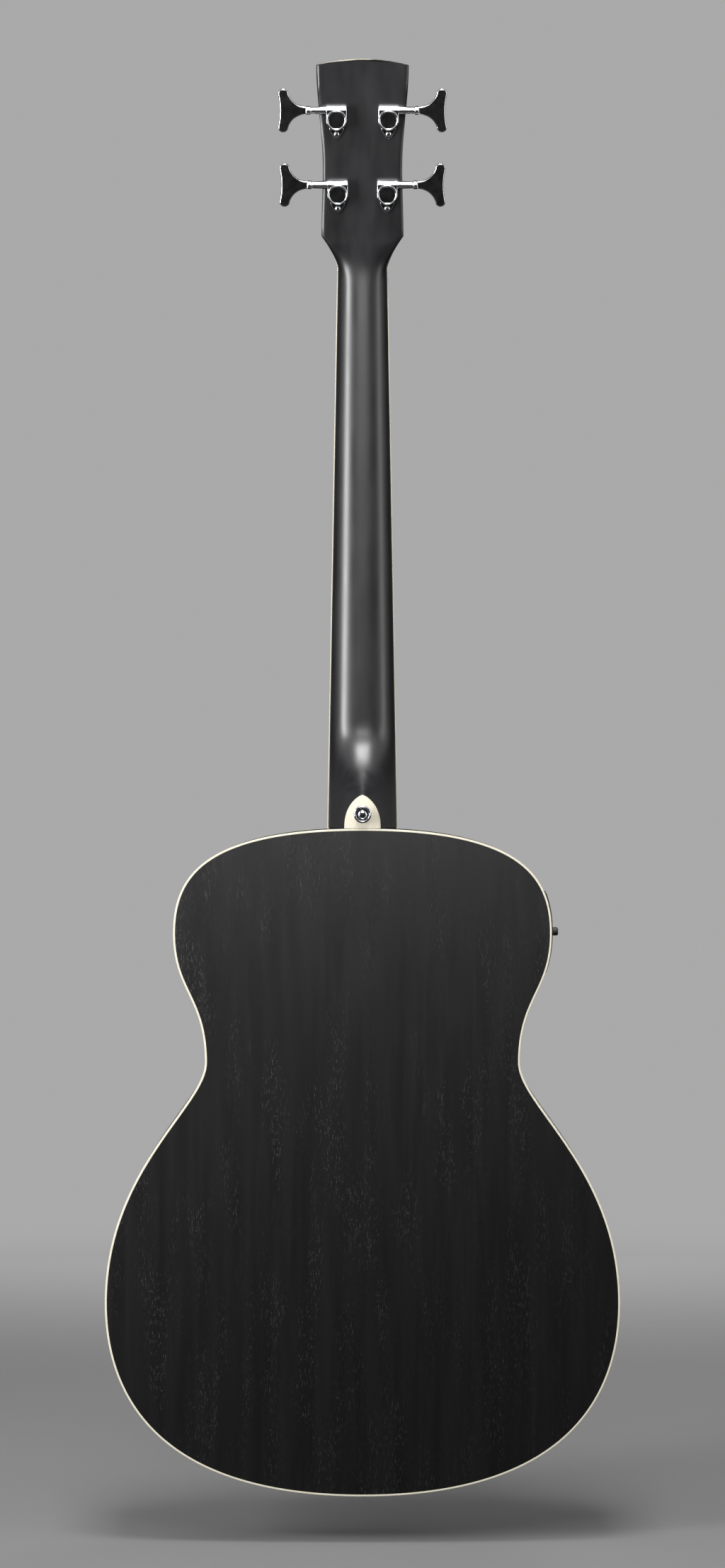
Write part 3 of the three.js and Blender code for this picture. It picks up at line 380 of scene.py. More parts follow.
def wood(
    name, ground, figure, pore, pore_mm, roughness, pore_depth, pore_share, source="Object", axes=(0, 1, 2)
):
    """Wood whose pores have a width and a length in millimetres. The grain follows the last axis."""
    made, tree, shader = start_material(name, ground, roughness, ior=1.5)

    def along_grain(across, along):
        sizes = [0, 0, 0]
        for axis, size in zip(axes, (across, across, along)):
            sizes[axis] = size
        return in_millimetres(tree, sizes, source)

    specks = add_node(tree, "TexNoise", {"Vector": along_grain(*pore_mm), "Scale": 1, "Detail": 1})
    patches = add_node(tree, "TexNoise", {"Vector": along_grain(*patch_mm), "Scale": 1, "Detail": 2})
    broad = add_node(
        tree, "TexNoise", {"Vector": along_grain(*figure_mm), "Scale": 1, "Detail": 3, "Distortion": 0.4}
    )
    threshold = 0.72 - 0.14 * pore_share
    pores = add_node(
        tree, "MapRange", {"Value": specks.outputs[0], "From Min": threshold, "From Max": threshold + 0.07}
    )
    present = add_node(tree, "MapRange", {"Value": patches.outputs[0], "From Min": 0.36, "From Max": 0.6})
    shown = add_node(tree, "Math", {0: pores.outputs[0], 1: present.outputs[0]}, operation="MULTIPLY")
    figured = add_node(tree, "MapRange", {"Value": broad.outputs[0], "From Min": 0.35, "From Max": 0.65})
    stains = {0: figured.outputs[0], 6: colour(ground), 7: colour(figure)}
    base = add_node(tree, "Mix", stains, data_type="RGBA")
    # The pores' colour is mixed in here. In the other woods the pores are darker than the ground; in the
    # black wood they are lighter, and that lighter tone is a painted glint.
    pore_tone_and_glint = {0: shown.outputs[0], 6: base.outputs[2], 7: colour(pore)}
    mixed = add_node(tree, "Mix", pore_tone_and_glint, data_type="RGBA")
    tree.links.new(mixed.outputs[2], shader.inputs["Base Color"])
    dulled = add_node(
        tree,
        "MapRange",
        {
            "Value": broad.outputs[0],
            "From Min": 0.3,
            "From Max": 0.7,
            "To Min": roughness - 0.02,
            "To Max": roughness + 0.02,
        },
    )
    tree.links.new(dulled.outputs[0], shader.inputs["Roughness"])
    bump = add_node(tree, "Bump", {"Height": shown.outputs[0], "Distance": pore_depth * mm}, invert=True)
    tree.links.new(bump.outputs[0], shader.inputs["Normal"])
    return made


# Real pores are about 0.2 mm wide. They are drawn two to four times as wide, so that they show. Each
# wood has the colours of ground, figure and pores, then the pores' size, the roughness, and the pores'
# depth and frequency.
# The black wood's pore colour, lighter than its ground, is a painted glint.
black_stain = ("#070707", "#090909", "#141414", (0.7, 5), 0.35, 0.04, 0.8)
black_wood = wood("black_stained_open_pore_wood", *black_stain)
bent_wood = wood("black_stained_bent_wood", *black_stain, source="UV", axes=(1, 2, 0))
dark_laurel = ("#3a2519", "#55392a", "#1f130c", (0.6, 8), 0.48, 0.05, 0.9)
board_wood = wood("oiled_dark_laurel", *dark_laurel)
bridge_wood = wood("oiled_dark_laurel_crosswise", *dark_laurel, axes=(1, 2, 0))
brace_wood = wood("planed_spruce", "#c8a873", "#b98f58", "#a5783f", (0.9, 60), 0.7, 0.02, 0.8)
block_wood = wood("sawn_mahogany", "#6b432b", "#7d5236", "#3f2414", (0.5, 6), 0.75, 0.05, 0.9)
ply_wood = wood("pale_maple_ply", "#d9d2c2", "#cfc5b0", "#b5a88c", (0.4, 5), 0.5, 0.02, 0.6)
print("wood:", black_wood.name, bent_wood.name, board_wood.name)

# %% [markdown]
# The neck has the same black stain, but its lacquer fills the pores and is rubbed to an even satin, so
# that a hand slides along it. To the eye that gives long soft highlights. A very fine noise stands for
# the rubbing marks.

# %% Satin neck lacquer
cloud_mm = (14, 14, 50)
rubbing_mm = (0.7, 0.7, 12)
rubbing_depth = 0.004 * mm
neck_lacquer, tree, shader = start_material("rubbed_black_lacquer", "#101010", 0.34, ior=1.6)
cloudy = add_node(tree, "TexNoise", {"Vector": in_millimetres(tree, cloud_mm), "Scale": 1, "Detail": 2})
stain = add_node(tree, "MapRange", {"Value": cloudy.outputs[0], "From Min": 0.35, "From Max": 0.7})
stains = {0: stain.outputs[0], 6: colour("#141416"), 7: colour("#1a1a1c")}
mixed = add_node(tree, "Mix", stains, data_type="RGBA")
tree.links.new(mixed.outputs[2], shader.inputs["Base Color"])
satin = add_node(
    tree,
    "MapRange",
    {"Value": cloudy.outputs[0], "From Min": 0.3, "From Max": 0.7, "To Min": 0.32, "To Max": 0.38},
)
tree.links.new(satin.outputs[0], shader.inputs["Roughness"])
rubbed = add_node(tree, "TexNoise", {"Vector": in_millimetres(tree, rubbing_mm), "Scale": 1, "Detail": 2})
bump = add_node(tree, "Bump", {"Height": rubbed.outputs[0], "Distance": rubbing_depth, "Strength": 0.6})
tree.links.new(bump.outputs[0], shader.inputs["Normal"])
print("lacquer:", neck_lacquer.name)

# %% [markdown]
# The bindings, heel cap and dots are celluloid in an ivory shade, scraped flush and buffed. It is warm
# white, with a faint grain from the sheet it was cut from, and light goes a little way in, which softens
# its edges. The nut and saddle are bone, slightly warmer and more polished.

# %% Ivory celluloid and bone
light_reach = 1.2 * mm
scraping_depth = 0.01 * mm


def ivory(name, base, grain, roughness, grain_mm):
    made, tree, shader = start_material(name, base, roughness)
    lines = add_node(tree, "TexNoise", {"Vector": in_millimetres(tree, grain_mm), "Scale": 1, "Detail": 3})
    share = add_node(tree, "MapRange", {"Value": lines.outputs[0], "From Min": 0.35, "From Max": 0.7})
    mixed = add_node(tree, "Mix", {0: share.outputs[0], 6: colour(base), 7: colour(grain)}, data_type="RGBA")
    tree.links.new(mixed.outputs[2], shader.inputs["Base Color"])
    buffed = add_node(
        tree, "MapRange", {"Value": lines.outputs[0], "To Min": roughness - 0.08, "To Max": roughness + 0.08}
    )
    tree.links.new(buffed.outputs[0], shader.inputs["Roughness"])
    shader.inputs["Subsurface Weight"].default_value = 0.12
    shader.inputs["Subsurface Radius"].default_value = (1.0, 0.85, 0.6)
    shader.inputs["Subsurface Scale"].default_value = light_reach
    bump = add_node(tree, "Bump", {"Height": lines.outputs[0], "Distance": scraping_depth, "Strength": 0.4})
    tree.links.new(bump.outputs[0], shader.inputs["Normal"])
    return made


celluloid = ivory("ivory_celluloid", "#cbc6b6", "#c2bba8", 0.35, (0.8, 0.8, 9))
polished_bone = ivory("polished_bone", "#efe6cf", "#dccfae", 0.28, (0.6, 2.2, 0.6))
print("ivory:", celluloid.name, polished_bone.name)

# %% [markdown]
# The tuners, strap button and jack are chrome over polished zinc and steel. Chrome mirrors the room, so
# its look comes from its rounded edges and from the lights. Very fine polishing marks keep it from
# looking like glass.

# %% Metals
film_mm = (6, 6, 6)


def metal(name, base, roughness, mark_mm, mark_depth):
    made, tree, shader = start_material(name, base, roughness, metallic=1.0)
    film = add_node(tree, "TexNoise", {"Vector": in_millimetres(tree, film_mm), "Scale": 1, "Detail": 2})
    shine = add_node(
        tree, "MapRange", {"Value": film.outputs[0], "To Min": roughness, "To Max": roughness + 0.08}
    )
    tree.links.new(shine.outputs[0], shader.inputs["Roughness"])
    marks = add_node(tree, "TexNoise", {"Vector": in_millimetres(tree, mark_mm), "Scale": 1, "Detail": 3})
    bump = add_node(tree, "Bump", {"Height": marks.outputs[0], "Distance": mark_depth * mm, "Strength": 0.5})
    tree.links.new(bump.outputs[0], shader.inputs["Normal"])
    return made


chrome = metal("polished_chrome_plate", "#dcdde0", 0.1, (0.5, 0.5, 3), 0.0006)
plain_steel = metal("drawn_steel", "#9a9b9e", 0.3, (0.3, 0.3, 5), 0.004)
nickel_silver = metal("nickel_silver_fret_wire", "#c9c6bd", 0.18, (3, 0.3, 0.3), 0.002)
brass = metal("turned_brass", "#c9a254", 0.22, (0.3, 2, 2), 0.003)
print("metals:", chrome.name, plain_steel.name, nickel_silver.name)

# %% [markdown]
# The strings are steel cores wound with phosphor bronze wire. Each turn of the wire is a small round
# ridge, which a wave along the string draws as a bump. The real pitch is about 0.5 mm, and it is drawn
# at 0.8 mm so that it shows.

# %% Wound strings
bronze_winding, tree, shader = start_material("phosphor_bronze_winding", "#c98f57", 0.3, metallic=1.0)
winding_pitch = 0.8
ridge_depth = 0.12 * mm
turns = add_node(
    tree,
    "TexWave",
    {"Vector": in_millimetres(tree, (1, 1, winding_pitch)), "Scale": math.pi / 10},
    wave_type="BANDS",
    bands_direction="Z",
    wave_profile="SIN",
)
# The same wave also darkens the bronze towards the grooves between the turns: painted shade where the turns
# meet.
ridge = add_node(tree, "MapRange", {"Value": turns.outputs["Fac"], "From Max": 0.5})
bronze_with_painted_groove_shade = {0: ridge.outputs[0], 6: colour("#5d3a1e"), 7: colour("#c98f57")}
mixed = add_node(tree, "Mix", bronze_with_painted_groove_shade, data_type="RGBA")
tree.links.new(mixed.outputs[2], shader.inputs["Base Color"])
bump = add_node(tree, "Bump", {"Height": turns.outputs["Fac"], "Distance": ridge_depth, "Strength": 0.8})
tree.links.new(bump.outputs[0], shader.inputs["Normal"])
print("strings:", bronze_winding.name)

# %% [markdown]
# The preamp panel, its knobs and the push button are moulded ABS, sparked to a fine matt grain. The
# display window is clear acrylic over a dark screen: smooth, with hardly any grain.

# %% Plastics and the display
def moulded(name, base, roughness, grain_mm, depth):
    made, tree, shader = start_material(name, base, roughness, ior=1.53)
    grain_place = in_millimetres(tree, (grain_mm, grain_mm, grain_mm))
    grain = add_node(tree, "TexNoise", {"Vector": grain_place, "Scale": 1, "Detail": 2})
    matt = add_node(
        tree, "MapRange", {"Value": grain.outputs[0], "To Min": roughness - 0.06, "To Max": roughness + 0.08}
    )
    tree.links.new(matt.outputs[0], shader.inputs["Roughness"])
    bump = add_node(tree, "Bump", {"Height": grain.outputs[0], "Distance": depth * mm, "Strength": 0.6})
    tree.links.new(bump.outputs[0], shader.inputs["Normal"])
    return made


black_abs = moulded("moulded_black_abs", "#141415", 0.45, 0.35, 0.02)
window_acrylic = moulded("acrylic_display_window", "#07080a", 0.1, 6, 0.002)
white_mark = moulded("printed_white_mark", "#d9d9d6", 0.5, 0.3, 0.005)
print("plastics:", black_abs.name, window_acrylic.name)

# %% [markdown]
# The body's outline is four curves on each side: out to the upper bout, in to the waist, out to the
# lower bout and round to the tail. The handles of the curves set their fullness. The points are then
# spaced evenly round the whole outline, so that every strip and plate made from it has equal steps.

# %% Body outline
body_top = -471 * mm
body_length = 550 * mm
upper_bout = (156.4 * mm, 86 * mm)
waist = (129.8 * mm, 193 * mm)
lower_bout = (212.3 * mm, 391 * mm)
outline_points = 360
curve_shares = {
    "top": (0.855, 0.472),
    "to_waist": (0.453, 0.505),
    "from_waist": (0.175, 0.558),
    "tail": (0.507, 0.778),
}


def stretch(start, start_handle, end_handle, end, steps=80):
    corners = [Vector((x, 0, body_top - down)) for x, down in (start, start_handle, end_handle, end)]
    return interpolate_bezier(*corners, steps)[:-1]


def even(points, count):
    """Points at equal steps round a closed line."""
    loop = points + [points[0]]
    runs = [0.0]
    for a, b in zip(loop, loop[1:]):
        runs.append(runs[-1] + (b - a).length)
    spaced = []
    at = 0
    for i in range(count):
        target = runs[-1] * i / count
        while runs[at + 1] < target:
            at += 1
        spaced.append(loop[at].lerp(loop[at + 1], (target - runs[at]) / (runs[at + 1] - runs[at])))
    return spaced, runs[-1]


def body_outline():
    top, tail = (0, 0), (0, body_length)
    upper_run = waist[1] - upper_bout[1]
    lower_run = lower_bout[1] - waist[1]
    tail_run = body_length - lower_bout[1]
    at_top, at_bout = curve_shares["top"]
    below_bout, above_waist = curve_shares["to_waist"]
    below_waist, above_bout = curve_shares["from_waist"]
    above_tail, at_tail = curve_shares["tail"]
    half = (
        stretch(top, (at_top * upper_bout[0], 0), (upper_bout[0], at_bout * upper_bout[1]), upper_bout)
        + stretch(
            upper_bout,
            (upper_bout[0], upper_bout[1] + below_bout * upper_run),
            (waist[0], waist[1] - above_waist * upper_run),
            waist,
        )
        + stretch(
            waist,
            (waist[0], waist[1] + below_waist * lower_run),
            (lower_bout[0], lower_bout[1] - above_bout * lower_run),
            lower_bout,
        )
        + stretch(
            lower_bout,
            (lower_bout[0], lower_bout[1] + above_tail * tail_run),
            (at_tail * lower_bout[0], body_length),
            tail,
        )
        + [Vector((0, 0, body_top - body_length))]
    )
    other = [Vector((-p.x, 0, p.z)) for p in half[1:-1]]
    return even(half + other[::-1], outline_points)


outline, outline_length = body_outline()
inward = []
for i, point in enumerate(outline):
    along = outline[(i + 1) % outline_points] - outline[i - 1]
    inward.append(Vector((along.z, 0, -along.x)).normalized())
if inward[0].z > 0:
    inward = [-direction for direction in inward]


def inset_outline(inset):
    return [point + direction * inset for point, direction in zip(outline, inward)]


depth_at_heel = 105 * mm
depth_at_tail = 120 * mm
dome_radius = 4950 * mm


def back_height(x, z):
    """How far the domed back's outer face stands from the soundboard's face."""
    down = body_top - z
    taper = (depth_at_tail - depth_at_heel) * down / body_length
    dome = ((body_length / 2) ** 2 - x**2 - (down - body_length / 2) ** 2) / (2 * dome_radius)
    return depth_at_heel + taper + dome


print("outline:", round(outline_length, 3), "m round,", outline_points, "points")

# %% [markdown]
# The back is one thin arched plate. By hand, its outline is drawn as a circle of points, and the edge is
# extruded and drawn in, ring by ring, to the middle. Then every point is lifted to the dome, and the
# sheet gets its thickness.

# %% Back plate
binding_width = 1.6 * mm
seam = 0.1 * mm
body_middle = body_top - 0.45 * body_length
ring_shares = [0.985, 0.95, 0.88, 0.78, 0.66, 0.53, 0.4, 0.27, 0.14, 0.05]
back_thickness = 3 * mm


def ringed_sheet(name, start):
    """A sheet inside an outline, in rings that shrink towards the body's middle."""
    deselect()
    bpy.ops.mesh.primitive_circle_add(vertices=len(start))
    piece = named(name)
    for vertex, place in zip(piece.data.vertices, start):
        vertex.co = place
    edit(piece)
    before = 1.0
    for share in ring_shares:
        extrude((0, 0, 0))
        factor = share / before
        bpy.ops.transform.resize(value=(factor, 1, factor), center_override=(0, 0, body_middle))
        before = share
    bpy.ops.mesh.merge(type="CENTER")
    leave_edit()
    return piece


back_plate = ringed_sheet("back", inset_outline(binding_width + seam))
for vertex in back_plate.data.vertices:
    vertex.co.y = back_height(vertex.co.x, vertex.co.z)
edit(back_plate)
face_outwards()
leave_edit()
if back_plate.data.polygons[0].normal.y < 0:
    edit(back_plate)
    bpy.ops.mesh.flip_normals()
    leave_edit()
apply_modifier(back_plate, "SOLIDIFY", thickness=back_thickness, offset=-1)
complete(back_plate, "root", [black_wood], ["back_plate"])

# %% [markdown]
# The bindings are ivory strips let into the corner between plate and side. The section is a small
# rectangle whose outer corner is scraped round. The strip is that section, carried round the whole
# outline.

# %% Bindings
binding_depth = 6 * mm
binding_round = 0.5 * mm


def binding_section(point, direction, face, towards):
    """One section: face is the height of the visible face, and towards is the way from it into the body."""
    corner = []
    for step in range(4):
        turn = math.radians(90) * step / 3
        out = binding_round * (1 - math.sin(turn))
        deep = binding_round * (1 - math.cos(turn))
        corner.append((out, face + towards * deep))
    flat = [(binding_width, face), *corner]
    flat += [(0, face + towards * binding_depth), (binding_width, face + towards * binding_depth)]
    return [Vector((point.x, height, point.z)) + direction * out for out, height in flat]


back_binding = skin(
    "back_edge_binding",
    [binding_section(p, d, back_height(p.x, p.z), -1) for p, d in zip(outline, inward)],
    closed=True,
)
complete(back_binding, "root", [celluloid], ["back_binding"])
top_binding = skin(
    "soundboard_edge_binding", [binding_section(p, d, 0.0, 1) for p, d in zip(outline, inward)], closed=True
)
complete(top_binding, "root", [celluloid], ["top_binding"])

# %% [markdown]
# Each side is one thin board, bent to half the outline. Its grain runs along the strip and not up the
# body, so the strip gets a map of its own: the distance along it, and the height across it.

# %% Sides
side_thickness = 2.5 * mm
half_count = outline_points // 2


def side_section(point, direction):
    low = binding_depth + seam
    high = back_height(point.x, point.z) - binding_depth - seam
    corners = [(0, low), (0, high), (side_thickness, high), (side_thickness, low)]
    return [Vector((point.x, height, point.z)) + direction * out for out, height in corners]


def side(name, node, order):
    stations = []
    for i in order:
        point = outline[i % outline_points].copy()
        sign = 1 if node == "side_treble" else -1
        point.x = sign * max(sign * point.x, seam)
        stations.append((point, inward[i % outline_points]))
    piece = skin(name, [side_section(*station) for station in stations])
    strip = piece.data.uv_layers.new(name="strip")
    step = outline_length / outline_points
    for loop in piece.data.loops:
        station = loop.vertex_index // 4
        strip.data[loop.index].uv = (station * step, piece.data.vertices[loop.vertex_index].co.y)
    return complete(piece, "root", [bent_wood], [node])


side("treble_side", "side_treble", range(0, half_count + 1))
bass_side = side("bass_side", "side_bass", [-i for i in range(0, half_count + 1)])

# %% [markdown]
# The soundboard is a flat plate with a round hole. Two loops of points, one on the outline and one on
# the hole, are bridged, which leaves clean strips of faces between them. The hole's rim is picked by its
# place and bevelled.

# %% Soundboard
soundboard_thickness = 3.2 * mm
hole_radius = 51 * mm
hole_round = 0.9 * mm
hole_down = 146 * mm
hole_middle = Vector((0, 0, body_top - hole_down))
board_edge = inset_outline(binding_width + seam)
hole_edge = [hole_middle + (place - hole_middle).normalized() * hole_radius for place in board_edge]
deselect()
bpy.ops.mesh.primitive_circle_add(vertices=outline_points)
soundboard = named("top")
bpy.ops.object.mode_set(mode="EDIT")
bpy.ops.mesh.primitive_circle_add(vertices=outline_points)
leave_edit()
for vertex, place in zip(soundboard.data.vertices, board_edge + hole_edge):
    vertex.co = place
edit(soundboard)
bpy.ops.mesh.bridge_edge_loops(type="SINGLE", number_cuts=4, interpolation="LINEAR")
leave_edit()
edit(soundboard)
extrude((0, soundboard_thickness, 0))
face_outwards()
leave_edit()
rim_zone = hole_radius + hole_round / 2
pick(
    soundboard,
    "edges",
    lambda middle, along: middle.y < seam
    and (middle - hole_middle).length < rim_zone
    and abs(along.dot((middle - hole_middle).normalized())) < 0.5,
)
bevel_picked(hole_round)
complete(soundboard, "root", [black_wood], ["soundboard"])

# %% [markdown]
# The rosette is a set of ivory rings let into the soundboard round the hole: two fine lines and a wider one
# between them. Each ring is a circle, extruded and widened, and then given its thickness.

# %% Rosette
rosette_inner = 55 * mm
ring_spans = [(0, 0.8 * mm), (2 * mm, 4 * mm), (5.2 * mm, 6 * mm)]
ring_thickness = 0.5 * mm
proud = 0.06 * mm
ring_middle = hole_middle - Vector((0, proud, 0))
rings = []
for start, end in ring_spans:
    deselect()
    bpy.ops.mesh.primitive_circle_add(
        vertices=120,
        radius=rosette_inner + start,
        location=ring_middle,
        rotation=(math.radians(90), 0, 0),
    )
    ring = named("rosette_line")
    edit(ring)
    extrude((0, 0, 0))
    wider = (rosette_inner + end) / (rosette_inner + start)
    bpy.ops.transform.resize(value=(wider, wider, wider), center_override=ring_middle)
    bpy.ops.mesh.select_all(action="SELECT")
    extrude((0, ring_thickness, 0))
    leave_edit()
    rings.append(ring)
rosette = joined("soundhole_rosette", rings)
complete(rosette, "root", [celluloid], ["rosette"])

# %% [markdown]
# The neck is carved from one piece: a round-backed shaft that grows into the heel at the body and flares
# into the tilted headstock. Every section across it is worked out from the same few sizes, and one skin
# covers them all.

# %% Neck sizes
nut_width = 43 * mm
width_at_body = 59.7 * mm
depth_at_nut = 15 * mm
depth_at_body = 18.5 * mm
neck_roundness = 2.3
board_overhang = 0.7 * mm  # the fretboard's binding stands out this far on each side
head_tilt = math.radians(12)
head_start = 4.6 * mm
head_thickness = 14.5 * mm
head_points = {"corner": (34.6 * mm, 27 * mm), "waist": (33.4 * mm, 85 * mm), "top": (38.8 * mm, 169.8 * mm)}
head_top = 174.8 * mm
corner_half, corner_up = head_points["corner"]
waist_up = head_points["waist"][1]
top_half, top_up = head_points["top"]
neck_gap = 0.3 * mm
neck_end = body_top + neck_gap
heel_reach = 94 * mm
heel_top = depth_at_body / 2
heel_above_cap = 3.3 * mm
heel_bottom = depth_at_heel - heel_above_cap
heel_power = 1 / 3  # lower lets the heel fall away faster above its cap
cap_width = 30 * mm
cap_length = 27.7 * mm
arch_power = 2.4
arch_point = 0.72  # lower is blunter
head_roundness = 24
straight_share = 0.6  # of the flare's growth in width, the rest is curved


def board_half(z):
    return mix(nut_width, width_at_body, z / body_top) / 2


def neck_depth(z):
    return mix(depth_at_nut, depth_at_body, z / body_top)


def cap_arch(share):
    """Half the heel cap's width at a share of its length from the body to its point."""
    return cap_width / 2 * (1 - share**arch_power) ** arch_point


def heel_depth(u):
    """How deep the neck's middle is at a height u above the body's edge."""
    share = 1 - min((u - cap_length) / (heel_reach - cap_length), 1) ** heel_power
    return max(neck_depth(neck_end + u), mix(heel_top, heel_bottom, share))


print("neck at nut and body:", nut_width, width_at_body)

# %% [markdown]
# A section of the shaft or heel is drawn from the fretboard's edge down one side to the deepest point,
# then mirrored. Its points are spaced by length, with one kept on the heel cap's edge, so that the
# skin's lines flow from shaft to heel.

# %% Neck sections
side_points = 26
middle_points = 6
fill_points = 10
curve_steps = 199
middle_share = 0.2  # of a shaft section's length lies between the points that come from the cap's edge
parting_reach = 60 * mm  # those points move apart over this height above the cap


def half_section(z):
    """One side of a section as width and depth, from the fretboard down to the middle."""
    u = z - neck_end
    cap_half = cap_arch(u / cap_length) if u < cap_length else 0.0
    deepest = heel_bottom if cap_half > 0 else heel_depth(u)
    cap_share = min(2 * cap_half / cap_width, 0.999)
    full_depth = deepest / (1 - cap_share**neck_roundness) ** (1 / neck_roundness)
    line = []
    steps = 160
    for i in range(steps + 1):
        y = deepest * (1 - (1 - i / steps) ** 2)
        side = mix(board_half(z) - board_overhang, cap_width / 2, y / heel_bottom)
        width = side * max(1 - (y / full_depth) ** neck_roundness, 0) ** (1 / neck_roundness)
        line.append(Vector((max(width, cap_half), y)))
    line[-1].x = cap_half
    return line, cap_half


def spaced(line, count, end_share=1.0):
    """Points at equal steps along a share of an open line."""
    runs = [0.0]
    for a, b in zip(line, line[1:]):
        runs.append(runs[-1] + (b - a).length)
    points = []
    at = 0
    for i in range(count):
        target = runs[-1] * end_share * i / (count - 1)
        while at < len(line) - 2 and runs[at + 1] < target:
            at += 1
        span = max(runs[at + 1] - runs[at], 1e-9)
        points.append(line[at].lerp(line[at + 1], min((target - runs[at]) / span, 1)))
    return points


def shaft_section(z):
    line, cap_half = half_section(z)
    u = z - neck_end
    if cap_half > 0:
        sides = spaced(line, side_points)
        end = sides[-1]
        inner = [Vector((end.x * (1 - i / middle_points), end.y)) for i in range(1, middle_points)]
    else:
        parted = eased(min(max((u - cap_length) / parting_reach, 0.01), 1))
        sides = spaced(line, side_points, 1 - middle_share * parted)
        inner = spaced(line[::-1], middle_points, middle_share * parted)[::-1][:-1]
    half = sides + inner
    treble = [Vector((p.x, p.y, z)) for p in half]
    bass = [Vector((-p.x, p.y, z)) for p in half[::-1]]
    edge = treble[0].x
    front = [Vector((mix(-edge, edge, i / fill_points), 0, z)) for i in range(1, fill_points)]
    return [*treble, Vector((0, line[-1].y, z)), *bass, *front]


def head_edge(up):
    """Half the headstock's width at a height up it, from two curves through corner, waist and top."""
    low, high = ("corner", "waist") if up < head_points["waist"][1] else ("waist", "top")
    (start_half, start_up), (end_half, end_up) = head_points[low], head_points[high]
    share = min(max((up - start_up) / (end_up - start_up), 0), 1)
    return mix(start_half, end_half, eased(share))


def flare_edge(foot_half, share):
    """Half the flare's width at a share of the way from the nut to the headstock's corners."""
    return mix(foot_half, corner_half, straight_share * share + (1 - straight_share) * share**2)


def head_arc(x):
    """How far the arc of the headstock's top stands above its ends."""
    return (head_top - top_up) * (1 - (x / top_half) ** 2)


def head_section(up):
    """A section of the flare or headstock, square to the tilted headstock."""
    share = min(up / corner_up, 1)
    if share < 1:
        width = flare_edge(nut_width / 2 - board_overhang, share)
        roundness = mix(neck_roundness, head_roundness, share**3)
    else:
        width = head_edge(up)
        roundness = head_roundness
    depth = mix(depth_at_nut, head_thickness, share)
    power = 2 / roundness
    line = []
    for i in range(curve_steps + 1):
        turn = math.radians(90) * i / curve_steps
        line.append(Vector((width * math.cos(turn) ** power, depth * math.sin(turn) ** power)))
    half = spaced(line, side_points + middle_points)[:-1]
    flat = [*half, Vector((0, depth)), *[Vector((-p.x, p.y)) for p in half[::-1]]]
    flat += [Vector((mix(-width, width, i / fill_points), 0)) for i in range(1, fill_points)]
    curve_share = min(max((up - waist_up) / (top_up - waist_up), 0), 1)
    back, rise = math.cos(head_tilt), math.sin(head_tilt)
    ring = []
    for p in flat:
        high = up + head_arc(p.x) * curve_share
        ring.append(Vector((p.x, p.y * back + high * rise, head_start - p.y * rise + high * back)))
    return ring


# The sections stand close together in the heel and at the nut, where the shape changes quickly.
fine_step = 1.6 * mm
coarse_step = 12 * mm
heel_zone = 110 * mm
nut_zone = 30 * mm
soft_reach = 108 * mm  # from the body's edge
soft_passes = 40
soft_sections = 12  # on each side of the nut
flare_steps = 16
head_steps = 18


def soften(sections, rows, freedom, level):
    """Draws the points of some sections towards their neighbours. Level sections keep their height."""
    for _ in range(soft_passes):
        before = [[p.copy() for p in s] for s in sections]
        for i in rows:
            for j, here in enumerate(before[i]):
                softened = (before[i - 1][j] + 2 * here + before[i + 1][j]) / 4
                sections[i][j] = here.lerp(softened, freedom(i, here))
                if level:
                    sections[i][j].z = here.z


def neck_sections():
    """The sections from the body to the headstock's top. Where parts of the neck meet, they are softened."""
    sections = []
    u = 0.0
    while u < -neck_end:
        sections.append(shaft_section(neck_end + u))
        u += fine_step if u < heel_zone or u > -neck_end - nut_zone else coarse_step
    heights = [section[0].z - neck_end for section in sections]
    kept = next(i for i, height in enumerate(heights) if height > cap_length)
    last = next(i for i, height in enumerate(heights) if height > soft_reach)
    # Above the cap all points are free. Beside it they are held more firmly the deeper they lie.
    soften(
        sections,
        range(1, last),
        lambda i, here: 1 if i > kept else min(1.6 * (1 - here.y / heel_bottom), 1),
        level=True,
    )
    nut = len(sections)
    sections += [head_section(corner_up * i / flare_steps) for i in range(flare_steps + 1)]
    # At the nut only the deeper points move, so that the front's edges keep their line.
    soften(
        sections,
        range(nut - soft_sections, nut + soft_sections),
        lambda i, here: min(max(here.y / depth_at_nut * 2 - 0.6, 0), 1),
        level=False,
    )
    sections += [head_section(mix(corner_up, top_up, i / head_steps)) for i in range(1, head_steps + 1)]
    return sections


sections = neck_sections()
print("neck sections:", len(sections), "of", len(sections[0]), "points")
neck = skin("carved_neck", sections)
edit(neck)
bpy.ops.mesh.remove_doubles(threshold=2 * same_place)
leave_edit()
complete(neck, "root", [neck_lacquer], ["neck"], smooth_below=38)

# %% [markdown]
# The heel cap is an ivory arch glued on the end of the heel. Its outline follows the same curve as the
# heel, and its outer edge is eased with a small bevel.

# %% Heel cap
cap_thickness = 3 * mm
cap_round = 0.5 * mm
cap_steps = 24
bunching = 1.5  # more brings the points closer together at the arch's point
arch = []
for i in range(cap_steps + 1):
    share = 1 - (1 - i / cap_steps) ** bunching
    arch.append((cap_arch(share), neck_end + cap_length * share))
cap_outline = arch + [(-x, z) for x, z in arch[:-1][::-1]]
heel_cap = plate("ivory_heel_cap", cap_outline, depth_at_heel - cap_thickness, depth_at_heel)
pick(
    heel_cap,
    "edges",
    lambda middle, along: middle.y > depth_at_heel - seam and middle.z > neck_end + seam and lies_flat(along),
)
bevel_picked(cap_round)
complete(heel_cap, "root", [celluloid], ["heel_cap"])

# %% [markdown]
# The strap button is turned from steel: a base, a slim waist, and a wide flange with a cup in which the
# screw's head sits. One profile, spun once round, gives it all. The screw's head is domed and has a
# cross cut in it.

# %% Strap button and screw
button_up = 11.9 * mm
button_gap = 0.3 * mm
button_place = Vector((0, 0, body_top + button_up))
button_base = depth_at_heel + button_gap
button_height = 11 * mm
flange = 7.35 * mm
flange_thickness = 2.4 * mm
button_waist = 4.3 * mm
base_radius = 6 * mm
cup_radius = 5.4 * mm
cup_depth = 3 * mm
edge_round = 0.5 * mm


